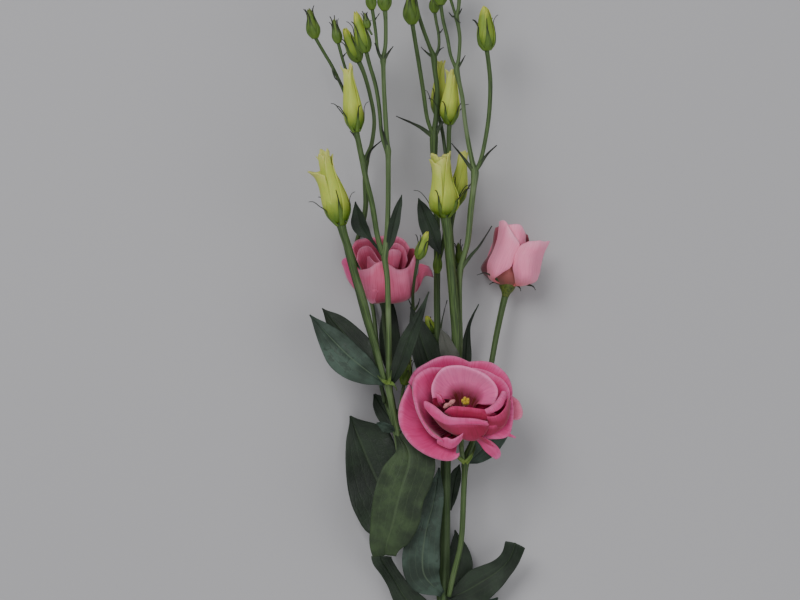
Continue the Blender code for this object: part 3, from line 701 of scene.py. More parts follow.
BUD_SHAPES = {
    # outline of the closed petals, how many of them, their finish, how loose they are, the calyx: path and
    # half width as shares
    "large": dict(outline=[(0.4, 0.0), (0.7, 0.05), (0.93, 0.13), (1.0, 0.24), (0.93, 0.37), (0.77, 0.52),
                           (0.6, 0.66), (0.48, 0.8), (0.5, 0.92), (0.64, 1.0)], petals=5, twist=55,
                  finish="bud", loose=1, sepal=LOOSE_SEPAL, half=0.16),
    "wide": dict(outline=[(0.42, 0.0), (0.74, 0.05), (0.95, 0.12), (1.0, 0.23), (0.9, 0.35), (0.72, 0.47),
                          (0.6, 0.6), (0.57, 0.76), (0.62, 0.9), (0.76, 1.0)], petals=5, twist=55,
                 finish="bud", loose=1, sepal=LOOSE_SEPAL, half=0.15),
    "middle": dict(outline=[(0.4, 0.0), (0.88, 0.12), (1.0, 0.3), (0.84, 0.52), (0.6, 0.75), (0.36, 0.92),
                            (0.2, 1.0)], petals=4, twist=45, finish="bud_middle", loose=0,
                   sepal=[(0.4, -0.04), (0.94, 0.1), (1.08, 0.28), (1.0, 0.48), (1.02, 0.62), (1.35, 0.74),
                          (1.7, 0.79)], half=0.34),
    "small": dict(outline=[(0.4, 0.0), (0.86, 0.12), (1.0, 0.27), (0.8, 0.45), (0.54, 0.65), (0.36, 0.84),
                           (0.2, 1.0)], petals=3, twist=30, finish="bud_green", loose=0,
                  sepal=[(0.4, -0.05), (0.94, 0.12), (1.08, 0.29), (0.88, 0.48), (0.62, 0.7), (0.66, 0.9),
                         (1.0, 1.03)], half=0.48),
}
SHORT_PETALS = {
    # a petal that ends early and curls out to one side: angle round the bud, length as a share, profile
    "bud_01": (174, 0.74, [(0.4, 0), (0.95, 0.2), (1.07, 0.38), (1.0, 0.66), (1.15, 0.88), (1.6, 1.02)]),
    "bud_03": (186, 0.88, [(0.4, 0), (0.95, 0.16), (1.04, 0.3), (0.82, 0.52), (0.68, 0.8), (0.86, 1.0)]),
}


def bud(name, design, seed):
    """A bud: stalk with receptacle, overlapping closed petals round a core, and a calyx of five sepals."""
    points, stalk_radius, tip, radius, kind = design
    shape = BUD_SHAPES[kind]
    foot, tip = Vector(points[-1]), Vector(tip)
    axis = tip - foot
    length = axis.length
    chance = random.Random(seed)
    thinner = THICK_STALK_START if kind == "large" and stalk_radius > THICK_STALK else 1.0
    sections = [(*point, stalk_radius * (thinner + (1 - thinner) * place / (len(points) - 1)))
                for place, point in enumerate(points[:-1])]
    sections += [(*(foot - axis * 0.03), stalk_radius * 1.15), (*(foot + axis * 0.02), radius * 0.55)]
    node = (name,) if name.startswith("bud_") else ()
    finish = "stem_dark" if name in ("bud_06", "bud_14", "bud_15") else "stem_mid"
    stem(name + "_stalk", sections, finish, node, sides=14, spacing=1.6)
    outline = [(share * radius, height * length) for share, height in shape["outline"]]
    core = Piece(name + "_core")
    inner = [(*(foot + axis * height / length), max(0.3, wide * CORE_SHARE)) for wide, height in outline[:-1]]
    core.bar((20, 18), bar_place(inner, 18, 0.03, 0.8), 0.4)
    core.done(FINISHES[shape["finish"]], "bud")
    corolla = Piece(name + "_petals")
    count = shape["petals"]
    turn = chance.uniform(0, 360)
    for index in range(count):
        stretch = 1 + chance.uniform(-0.1, 0.02) if shape["loose"] else 1 + chance.uniform(-0.05, 0.01)
        flare = chance.uniform(0.85, 1.25) if shape["loose"] else 1
        profile = [(wide * (flare if place == len(outline) - 1 else 1), height * stretch)
                   for place, (wide, height) in enumerate(outline)]
        corolla.sheet((18, 30), petal_place(
            foot, axis, profile, turn + index * 360 / count, 1.6 * 360 / count, rounding=0.08, cup=0,
            ruffle=0.3 if shape["loose"] else 0.05, waves=2, lift=radius * 0.16, narrow=0.9,
            point=0.08, twist=shape["twist"], seed=seed * 7 + index), 0.3 + 0.1 * index)
    if name in SHORT_PETALS:
        side, share, profile = SHORT_PETALS[name]
        profile = [(radius * wide, length * share * height) for wide, height in profile]
        corolla.sheet((24, 30), petal_place(foot, axis, profile, side, 160, rounding=0.14, cup=0.1,
                                            ruffle=0.3, waves=2, lift=0.4, narrow=0.9, seed=seed), 0.1)
    corolla.done(FINISHES[shape["finish"]], "bud", (), PETAL_WALL)
    paths = []
    for index in range(5):
        spread, reach = chance.uniform(0.85, 1.3), chance.uniform(0.85, 1.12)
        path = []
        for place, (wide, height) in enumerate(shape["sepal"]):
            late = place / (len(shape["sepal"]) - 1)
            path.append((radius * (wide if late < 0.6 else wide * spread), length * height * (
                1 if late < 0.6 else reach)))
        paths.append(path)
    calyx(name + "_calyx", foot, axis, paths, radius * shape["half"], turn + 20, seed * 11)


# ---- leaves and bracts -------------------------------------------------------------------------------------
LEAVES = [
    # name, midrib, half widths, facing, finish, node, fold, ruffle
    ("leaf_01", [(-33, 130, 41), (-42, 136.5, 42), (-55, 147, 40), (-67, 159, 36), (-78.3, 171, 30.5)],
     [(1.6, 1.6), (8, 5.5), (12, 7.5), (12.4, 8), (9, 6.8), (4.6, 4), (0.2, 0.2)], (0.1, 0.1, 1),
     "leaf", "leaf_01", 0.12, 0.5),
    ("leaf_02", [(-34, 132, 36), (-45, 145.5, 31), (-58, 160.5, 26), (-71, 175, 22)],
     even_widths(9), (0.2, 0.3, 1), "leaf_dark", "leaf_02", 0.2, 0.5),
    ("leaf_03", [(-29.3, 132.5, 34), (-30, 150, 19), (-30.6, 165, 8), (-30.6, 185, 4.6)],
     even_widths(6.5), (0.1, 0.6, 1), "leaf_dark", "leaf_03", 0.15, 0.3),
    ("leaf_04", [(-28.5, 131, 43), (-24.5, 141, 48), (-19, 157, 51.5), (-12.5, 171, 54), (-6.8, 185, 55)],
     [(1.8, 1.8), (4.0, 4.2), (4.6, 5.6), (4.2, 5.4), (3.0, 3.8), (1.4, 1.8),
      (0.15, 0.2)], (-0.25, -0.1, 1),
     "leaf_dark", "leaf_04", 0.35, 0.4),
    ("leaf_05", [(2, 124, 21), (-4.5, 138, 22.5), (-10, 153, 22), (-17.5, 176, 21)],
     [(1.6, 1.6), (7, 7), (9, 9.5), (8.5, 9), (6.5, 7), (4, 4), (0.2, 0.2)], (0.1, 0.2, 1), "leaf_dark",
     "leaf_05", 0.15, 0.5),
    ("leaf_06", [(9, 129.0, 26), (8, 139.5, 29.5), (4.5, 150, 31), (0.5, 163, 31)],
     even_widths(5.6), (0.35, -0.3, 1), "leaf_under", "leaf_06", 0.2, 0.5),
    ("leaf_07", [(13, 127.5, 16), (15.5, 145, 16), (16.5, 158, 17), (18.5, 167, 20), (23.5, 177.5, 22)],
     [(1.2, 1.2), (3.2, 3.2), (3.6, 3.8), (2.6, 2.8), (1.4, 1.4), (0.7, 0.7), (0.15, 0.15)], (0.2, 0, 1),
     "leaf_dark", "leaf_07", 0.2, 0.3),
    ("leaf_08", [(-34.6, 207, 52.5), (-41.5, 216.5, 51), (-47, 223.5, 50.5), (-49, 231, 51),
                 (-50.5, 238.5, 52)],
     [(0.9, 0.9), (0.8, 0.8), (1.2, 1.2), (4.2, 4.0), (4.8, 4.4), (3, 2.6), (0.15, 0.15)], (-0.3, 0, 1),
     "leaf_dark", "leaf_08", 0.35, 0.4),
    ("leaf_09", [(-31.8, 207.5, 54.5), (-29.3, 217.5, 56), (-26.6, 229.5, 56), (-22.9, 242.5, 55)],
     even_widths(3.2), (0.3, 0, 1), "leaf_dark", "leaf_09", 0.3, 0.3),
    ("leaf_10", [(0.3, 207.5, 28.5), (-3.5, 217, 26.5), (-8, 229, 24), (-12.8, 241.5, 22)],
     even_widths(5.6), (-0.2, 0, 1), "leaf_dark", "leaf_10", 0.25, 0.4),
    ("leaf_11", [(-24, 99, 30), (-29, 107.5, 26), (-34, 114.5, 20), (-39.5, 123, 16)],
     even_widths(6.4, (0.2, 0.75, 0.98, 1.0, 0.9, 0.66, 0.1)), (0, 0, 1), "leaf_dark", "leaf_11", 0.15, 0.3),
    ("leaf_12", [(-18, 36.5, 18), (-28, 52, 13), (-40, 75, 8), (-48, 93, 6.5), (-54.3, 109.5, 6)],
     [(3, 2), (19, 11), (21, 16), (19, 18), (14, 19), (8, 17), (0.3, 0.4)], (0, 0, 1), "leaf_dark",
     "leaf_12", 0.12, 1.0),
    ("leaf_13", [(-25.6, 99.5, 35), (-19.5, 91, 37.5), (-19, 81, 39.5), (-24, 65, 41), (-28.5, 46, 41),
                 (-32, 34, 38), (-32.5, 26.5, 32)],
     [(1.6, 1.8), (14, 9.5), (16.5, 14.3), (15, 15), (15.5, 14), (12.5, 11.5), (6, 8)], (0.05, 0, 1),
     "leaf_big", "leaf_13", 0.04, 0.9),
    ("leaf_14", [(1.5, 2.5, 22.5), (-8.5, 13, 30), (-10.5, 24, 32), (-8.5, 40, 32), (-3.5, 60, 30),
                 (-0.5, 79, 27)],
     [(2, 2), (10, 8.5), (12.5, 10.5), (10.5, 9), (8, 7), (5, 5), (0.3, 0.3)], (0.1, 0, 1), "leaf",
     "leaf_14", 0.08, 0.8),
    ("leaf_15", [(6.5, 0.5, 14), (10.5, 14, 9.5), (12.5, 26, 7), (9.5, 40, 5)],
     [(1.8, 1.8), (6, 7), (8, 8.5), (8.5, 8.5), (7.5, 6), (4, 3), (0.2, 0.2)], (0, 0, 1), "leaf_dark",
     "leaf_15", 0.1, 0.6),
    ("leaf_16", [(5, -0.5, 20), (15, 3.5, 17), (26, 9.5, 13), (36, 16, 12), (42.5, 23.5, 15),
                 (45.6, 33, 21)],
     [(2, 2), (7, 9), (9.3, 11.5), (8.2, 10), (6.3, 7.2), (5.8, 6.2), (6, 6.6)], (-0.05, 0.1, 1),
     "leaf_dark", "leaf_16", 0.14, 0.7),
    ("leaf_17", [(0, -28.5, 14.5), (-10, -14, 12), (-21.5, 0, 11), (-26.5, 8.5, 12.5), (-31.5, 17, 16),
                 (-34.8, 22.5, 19), (-35.2, 25.3, 21)],
     [(2, 2), (7, 8), (9, 9.5), (7.5, 8), (5.6, 6), (5.2, 5.2), (6.2, 6.2)], (0, 0, 1), "leaf_dark",
     "leaf_17", 0.15, 0.6),
    ("leaf_18", [(16.5, 81.5, 22), (24.5, 88.5, 15), (35, 100, 12.5), (43, 112, 13)],
     even_widths(8), (0.1, -0.3, 1), "leaf", "leaf_18", 0.2, 0.6),
    ("underside_leaf", [(-24.5, 102, 36.5), (-17, 103.5, 38), (-9, 104.5, 37)],
     even_widths(4), (0, -0.8, 1), "leaf_under", None, 0.3, 0.4),
    ("left_small_leaf", [(-27.5, 101.5, 36.5), (-32, 104, 39), (-38, 106.5, 38)],
     even_widths(3.6), (0, -0.8, 1), "leaf", None, 0.3, 0.4),
    ("rear_small_leaf", [(12, 80.5, 20), (9.5, 72, 12), (8, 63, 9), (7, 52, 8)],
     even_widths(3.8), (0, 0, 1), "leaf_dark", None, 0.2, 0.4),
    ("low_right_leaf", [(4.5, -28.5, 15), (15.5, -21, 10), (26, -11, 7), (35.5, -1, 8)],
     even_widths(9), (0, 0, 1), "leaf", None, 0.15, 0.6),
    ("foot_left_leaf", [(-1, -85, 10.5), (-13, -76, 10), (-26, -64, 9), (-36, -50, 12)],
     even_widths(10), (0, 0, 1), "leaf", None, 0.15, 0.7),
    ("foot_right_leaf", [(4.5, -85, 10.5), (17, -77, 9), (30, -66, 7), (40, -53, 9)],
     even_widths(10.5), (0, 0, 1), "leaf_big", None, 0.15, 0.7),
]
# narrow bracts at the forks: midrib and half width, grouped by the shoot that bears them
BRACTS = {
    "centre_bracts": [
        ([(-3.5, 278, 20), (-12, 284.5, 21), (-26.4, 291, 23)], 1.5),
        ([(-3, 278.5, 20), (1.5, 287, 21), (9.6, 291, 22)], 1.5),
        ([(-4, 326.5, 21), (-8.5, 330, 22), (-11.3, 332.7, 23)], 0.9),
        ([(-3, 326.5, 21), (0, 331, 21.5), (2.4, 332.7, 22)], 0.9),
        ([(-1.2, 341, 19.5), (0.5, 342, 20), (2, 344, 20.5)], 0.7),
        ([(-1.5, 203, 15), (1.5, 214, 14), (5.5, 226, 14)], 1.1)],
    "right_bracts": [
        ([(20, 257, 34), (13.5, 266, 35), (6.8, 274, 36)], 1.3),
        ([(21, 257, 34), (28, 267, 36), (34, 272.7, 38)], 1.5),
        ([(12.5, 198, 27), (18, 206, 29), (24, 213, 31), (31.2, 224.5, 32)], 1.3),
        ([(10.4, 319, 31), (13, 323, 32), (15.2, 327, 33)], 0.9),
        ([(9.6, 351, 29.5), (7.5, 350.5, 31), (5.3, 353, 32)], 0.7),
        ([(10.4, 351, 29.5), (12, 353, 30), (13.4, 355.5, 31)], 0.7),
        ([(9, 351, 29.2), (10.5, 348, 31), (12.5, 346.5, 32)], 0.6)],
    "left_bracts": [
        ([(-31, 268, 59), (-33, 276, 61), (-35, 283, 62)], 1.2),
        ([(-44, 263, 20.5), (-41.5, 270, 30), (-34.5, 276, 36)], 1.2),
        ([(-34, 321.5, 62.5), (-36.5, 326, 64), (-39, 332, 65)], 1.1),
        ([(-33.8, 321.5, 62.5), (-31, 326, 64), (-28, 330, 65)], 1.2),
        ([(-39.6, 344.5, 63.5), (-37.5, 347.5, 64.5), (-36, 349.5, 65)], 0.5)],
    "rear_bracts": [
        ([(-49.5, 276, 25), (-51.5, 279, 30), (-54, 281.4, 34)], 1.1),
        ([(-61.5, 314, 41.5), (-59, 309, 45), (-56.5, 306, 47)], 0.8),
        ([(-59, 324, 44.5), (-57, 326.5, 46), (-55.8, 327.6, 47)], 0.7),
        ([(-64.5, 319.5, 44), (-63, 313, 45), (-59.5, 309.6, 46)], 0.7)],
    "low_bracts": [
        ([(-15.3, 174, 19), (-17.5, 177.5, 21), (-19, 181, 22)], 0.7),
        ([(-15, 174, 19), (-13, 177.5, 21), (-12, 181, 22)], 0.7),
        ([(0.6, 160, 18), (1.5, 168, 19.5), (4.5, 180, 21)], 0.5)],
    "flower_c_bracts": [
        ([(36, 191.5, 19), (31, 194.8, 21), (27, 196.4, 21.5), (22.5, 195, 21)], 0.8),
        ([(36, 190, 12.5), (33, 190.9, 14), (30.2, 189.4, 15)], 0.7),
        ([(46, 189.5, 19), (48.4, 187.5, 20), (49, 185.3, 20)], 0.7),
        ([(52, 189.5, 18), (56.2, 188.4, 19), (58, 186, 19)], 0.7)],
    "green_leaf_feet": [
        ([(-31, 131, 43), (-27.8, 129.5, 45.5), (-25.8, 126, 45)], 1.5),
        ([(-31, 130.5, 43), (-34.5, 132, 45.5), (-37.5, 135, 45)], 1.6),
        ([(-31, 130, 43.5), (-29.8, 134, 46.5), (-29, 138, 47.5)], 1.2),
        ([(15, 82, 28), (11, 85.5, 30), (7.5, 90.5, 29)], 1.5),
        ([(15.5, 82, 28), (19, 86.5, 30), (21.5, 92.5, 28)], 1.7)],
}


def foliage():
    for index, (name, midrib, widths, facing, finish, node, fold, ruffle) in enumerate(LEAVES):
        leaf(name + "_blade", midrib, widths, facing, finish, node, fold, ruffle, seed=index + 3)
    for name, bracts in BRACTS.items():
        piece = Piece(name)
        for index, (midrib, half) in enumerate(bracts):
            widths = even_widths(half, (0.75, 0.8, 0.7, 0.5, 0.36, 0.24, 0.14))
            piece.sheet((6, 22), leaf_place(midrib, widths, (0, 0.01, 1), 0.5, 0.1, index))
        finish = "green_foot" if name == "green_leaf_feet" else "bract"
        piece.done(FINISHES[finish], "leaf", (), SEPAL_WALL)


# ---- flowers -----------------------------------------------------------------------------------------------
FLOWER_A = dict(foot=(13.5, 104, 31.5), axis=(0, 0.5, 0.866))
FLOWER_B = dict(foot=(-33.5, 180.5, 10.5), axis=(0.03, 0.9, 0.42))
FLOWER_C = dict(foot=(41, 188.6, 14.4), axis=(0.1, 0.96, 0.2))

# Each petal: name, finish, node, and its rows of points from above the claw to the lip; every row crosses
# the petal from one side to the other.
PETALS_A = [
    ("a_top_left", "rose", "flower_a_petal_2", [
        [(-4, 113, 34), (2, 120, 37.5), (10, 122, 37), (16, 120, 35)],
        [(-13, 123, 40), (-9, 129, 42), (-2, 134, 43), (8, 136, 41.5), (17, 132, 39)],
        [(-18, 129.5, 43), (-14.5, 136, 44.5), (-8, 141, 45.5), (0, 144, 45), (9, 144.3, 44),
         (17, 141.5, 41.5)],
        [(-19, 130.5, 42), (-15.3, 137.5, 43.5), (-8, 142.6, 44.5), (0, 146, 44), (9, 146.2, 43),
         (19, 142, 40)]]),
    ("a_top_right", "rose", "flower_a_petal_1", [
        [(13.5, 118, 35), (18.5, 117.5, 37), (22, 113.5, 36.5), (22, 110, 35)],
        [(15, 131, 39), (22, 132, 40.5), (29, 127.5, 41), (33.5, 119.5, 39.5), (32.5, 115, 38)],
        [(16, 141, 41), (24, 142, 42.5), (31.5, 140.5, 43), (37, 136, 43), (40.8, 130, 42.5),
         (41.8, 124, 41),
         (40.5, 119, 39)],
        [(16, 142.5, 40), (24, 143.5, 41.5), (32, 142, 42), (38, 137.5, 42), (42, 131, 41.5),
         (43.3, 124, 40),
         (42, 119, 38.5)]]),
    ("a_top_inner", "rose", None, [
        [(14, 117, 37), (18, 116, 38.5), (21, 113, 38), (21.5, 111.5, 37.5)],
        [(18, 130, 43), (24, 128.5, 44.5), (30, 124.5, 44.5), (33, 118, 43)],
        [(19, 139.5, 46.5), (25, 138.6, 47.5), (31, 136.3, 48), (37, 132.5, 48), (41, 127, 47.5),
         (41.5, 121, 46)]]),
    ("a_thin_right", "dusky", None, [
        [(22, 109, 34), (23.5, 107.3, 34), (22, 105.5, 34)],
        [(35, 117, 37.5), (38, 113, 38), (35, 108.5, 37.5)],
        [(42.5, 122, 38), (46, 119.5, 38.5), (48.3, 114, 38), (47.8, 110, 38), (45, 108.8, 38),
         (42, 109.5, 38)],
        [(43, 122, 37), (46.6, 119.5, 37.5), (49, 114, 37), (48.5, 109.6, 37), (45, 108.2, 37),
         (42, 109, 37)]]),
    ("a_right", "rose", "flower_a_petal_5", [
        [(22, 111, 37), (22.5, 107, 37.5), (21, 103.5, 37.5), (17, 101.5, 36.5)],
        [(34, 118, 42), (35, 109, 44), (32, 101.5, 44.5), (22.5, 100.5, 43)],
        [(42.3, 122, 44), (43, 114, 45.5), (42.3, 105, 46.5), (40, 99.5, 46), (34.5, 97.5, 45.5),
         (25, 98, 44)],
        [(42.6, 122, 43), (43.3, 114, 44.5), (42.5, 105, 45.5), (40.3, 99, 45), (34.5, 97, 44.5),
         (25, 97.6, 43)]]),
    ("a_low_right", "rose", "flower_a_petal_3", [
        [(19.5, 98.5, 45), (21.5, 99.3, 47), (24.5, 99, 46)],
        [(23.3, 94.5, 43.5), (26.5, 96.5, 46.5), (30, 96, 44)],
        [(26.6, 90, 43), (30.5, 92.5, 46), (34.5, 92, 43)],
        [(30.5, 86.6, 42), (33.5, 88.2, 43.5), (36.2, 88.5, 42)],
        [(33, 84.8, 40.5), (34.5, 85, 41), (35.8, 86, 40.5)]]),
    ("a_low_fold", "rose_in_shade", None, [
        [(20.5, 98.8, 47.5), (22.5, 99.3, 49), (24, 98, 47.5)],
        [(25.5, 95.6, 46.5), (27.3, 96.8, 48.8), (28.8, 95, 46.5)],
        [(30.2, 92.8, 46), (31.6, 93.4, 47), (32, 92, 46)]]),
    ("a_spike", "rose", None, [
        [(36, 100, 42), (36, 98, 42)], [(40, 100.8, 45.5), (40, 98.8, 45.5)],
        [(42.8, 99.5, 45.5), (42.6, 98.3, 45.5)], [(45.2, 98, 44.5), (45, 97.6, 44.5)]]),
    ("a_low_left", "rose", "flower_a_petal_4", [
        [(-2, 114, 36), (-3.5, 108, 37), (-1.5, 102.5, 37), (4, 98.5, 36.5), (12, 98.5, 34.5)],
        [(-14, 122, 42.5), (-17, 111.5, 45), (-14, 100.5, 46), (-5, 92.5, 45.5), (5, 90, 43.5),
         (10, 92, 41)],
        [(-18, 129, 45), (-22.5, 117.5, 48), (-22.5, 106, 48.8), (-17.5, 97, 48.8), (-8, 89, 48),
         (3, 85.6, 47),
         (9.5, 88.5, 45)],
        [(-19, 129, 44), (-24.2, 117, 47), (-24.3, 106, 47.5), (-18.6, 95.6, 47.5), (-8.5, 87.6, 46.8),
         (3, 84, 46), (10, 85.5, 45), (11.6, 88.8, 44)]]),
    ("a_left_cup", "cup", "flower_a_petal_7", [
        [(7, 119, 41), (2, 118, 41), (0.5, 113.5, 39), (1, 107, 36.5), (6, 101, 35.5)],
        [(3, 131, 47), (-4, 129.5, 48.5), (-8, 122, 48.5), (-9.5, 114, 46), (-8, 106.5, 43),
         (0.5, 98, 41.5)],
        [(2, 138.5, 52), (-7, 138.3, 53.5), (-13.5, 133, 54.8), (-14.7, 125, 55), (-13.3, 116, 54.5),
         (-10, 108.3, 53.5), (-4.6, 101, 52.5), (1.5, 97, 51.5)],
        [(2, 139.5, 51), (-7, 139.6, 52), (-15, 134, 53), (-16.5, 127, 53.5), (-15.5, 119, 53),
         (-12.5, 110, 52), (-6, 100, 51), (1.5, 95.5, 50.5)]]),
    ("a_upper_cup", "rose_lit", "flower_a_petal_6", [
        [(7, 119, 42), (10.5, 123.5, 43), (18, 123, 43), (22, 118.5, 42), (21, 117, 42)],
        [(1, 121, 48), (2, 129, 50), (9, 132.5, 50.5), (18, 131.5, 49.5), (25.5, 127.5, 49.5),
         (26, 117.5, 48)],
        [(-4, 122, 55), (-4, 130, 57), (1, 138, 58.5), (9, 140, 58.7), (18, 138.6, 58.2), (27, 134.3, 57.8),
         (32.5, 128, 57), (31.5, 117.5, 53)],
        [(-4.6, 121.5, 55), (-5, 129.5, 56.5), (0.5, 139, 58), (9, 141, 58), (18, 139.6, 57.5),
         (27.5, 135.3, 57), (33.6, 128, 56), (33.6, 121.5, 54.5), (32, 117, 52.5)]]),
    ("a_lower_cup", "rose", "flower_a_petal_8", [
        [(5, 97, 39), (9, 96, 39), (13, 98.5, 38.5)],
        [(-1, 94.3, 46), (2.5, 92.3, 47), (6.5, 91.5, 47.5), (10.5, 93.8, 47), (13.5, 97.5, 46.5)],
        [(-2, 96, 50), (3, 97, 51.5), (7, 96.3, 52), (11, 98, 52.3), (14.5, 101.5, 52)],
        [(-2, 96.4, 50), (3, 98, 51), (7, 97.3, 51.5), (11, 99, 52), (14.7, 101.8, 52)]]),
    ("a_low_middle", "rose_in_shade", None, [
        [(3, 108, 41), (6, 102, 41), (11, 99, 41), (17, 99.5, 41), (20.5, 103, 41)],
        [(-6, 113, 48), (0, 105, 49), (4.5, 102, 49.5), (9.5, 99.6, 50), (15, 97, 48.5), (21, 96.6, 48),
         (26, 99.5, 48.5), (28.5, 104, 49)],
        [(-8.6, 116, 54), (-5.5, 112.5, 55.5), (-1, 109.5, 56.5), (3.5, 107, 57), (9, 106.4, 57),
         (18, 106.8, 56.5), (28, 106, 54.5)]]),
    ("a_middle_lip", "rose", None, [
        [(-7, 114.5, 52), (-4, 110.5, 54), (0, 107.8, 55), (5, 105.8, 55.5), (14, 106, 55.5),
         (28, 105.5, 53.5)],
        [(-9.3, 116.5, 55), (-5.8, 113.2, 57), (-1.5, 110.3, 58), (3.6, 107.6, 58.5), (9, 107.6, 58),
         (18, 108, 57.5), (28, 107, 55.5)],
        [(-9.8, 119.6, 55.5), (-6.5, 118, 57.5), (-2, 114.7, 58.5), (2.5, 111.2, 59), (7, 109.9, 58.5),
         (18, 109.3, 58), (28, 107.6, 55.5)],
        [(-8.5, 119.8, 54.5), (-5.5, 118.3, 56), (-1, 115, 57), (3.5, 111.6, 57.5), (8, 110.3, 57.3),
         (18, 109.7, 57), (28, 107.8, 55)]]),
    ("a_inner_lip", "rose_in_shade", None, [
        [(8, 108, 42), (15, 104.5, 42), (21, 107.5, 42)],
        [(3.5, 111.5, 50), (8, 108, 52), (15, 106.5, 52.5), (23, 106.3, 52), (29, 108.5, 50.5)],
        [(2.5, 112.8, 53), (6, 114.2, 55.5), (11, 114.2, 56.5), (19, 112.8, 56.5), (26, 111.5, 55.5),
         (33, 110.5, 53)],
        [(2.5, 113.2, 53), (5.2, 115.8, 54.8), (9, 117, 55.3), (15, 116.4, 55.6), (21, 115.7, 55.6),
         (28, 114.2, 54.5), (33.5, 112.5, 52.5)]]),
    ("a_right_fold", "rose_in_shade", None, [
        [(26, 112, 41), (25, 107, 41), (20.5, 104.5, 41)],
        [(41, 118, 46), (40, 109, 48), (36, 104, 49), (28, 103.5, 49)],
        [(40, 122, 52), (38.8, 117, 55), (36.3, 113.4, 56), (32.5, 111, 56.5), (27.5, 111, 56)]]),
    ("a_right_lip", "rose", None, [
        [(37.5, 123.5, 50), (36.2, 118.5, 53), (34, 115, 54.5), (30.5, 113, 55), (26.5, 112, 54.5)],
        [(39, 124.6, 53), (37.6, 119.8, 56), (35, 116, 57.5), (31.5, 113.6, 58), (27, 112.8, 57)],
        [(38, 125.8, 54), (36, 121.5, 57), (33.5, 118.2, 58.5), (30, 115.8, 58.8), (26.5, 114.2, 57.5)],
        [(36.5, 125.5, 53), (34.5, 121.8, 55.5), (32, 118.8, 57), (29, 116.4, 57.3), (26, 114.6, 56.5)]]),
    ("a_low_crease", "rose_in_shade", None, [
        [(24, 99, 44), (30, 99.5, 44), (37, 104, 44)],
        [(27, 103.8, 50.5), (32, 104.3, 51), (37, 106.5, 51), (40, 111, 50)],
        [(27, 105.4, 51), (32, 106, 52), (37, 108.5, 52), (39.6, 112, 51)]]),
    ("a_heart_left", "rose_in_shade", None, [
        [(5, 115, 42), (9, 117, 42)],
        [(-3.5, 116.5, 48), (0, 117, 49), (3, 117.5, 48)],
        [(-4.6, 121.5, 52), (-2.6, 124.4, 53.5), (0.3, 123.2, 54), (2.6, 119.8, 53)]]),
    ("a_heart_ridge", "rose", None, [
        [(0, 117, 49), (1, 117.5, 49.5)],
        [(-1.8, 121, 52.5), (0.2, 119.8, 54), (1.8, 119, 52.5)],
        [(-2.5, 124.5, 53.5), (-0.6, 123.5, 55), (1, 121.4, 54)]]),
]
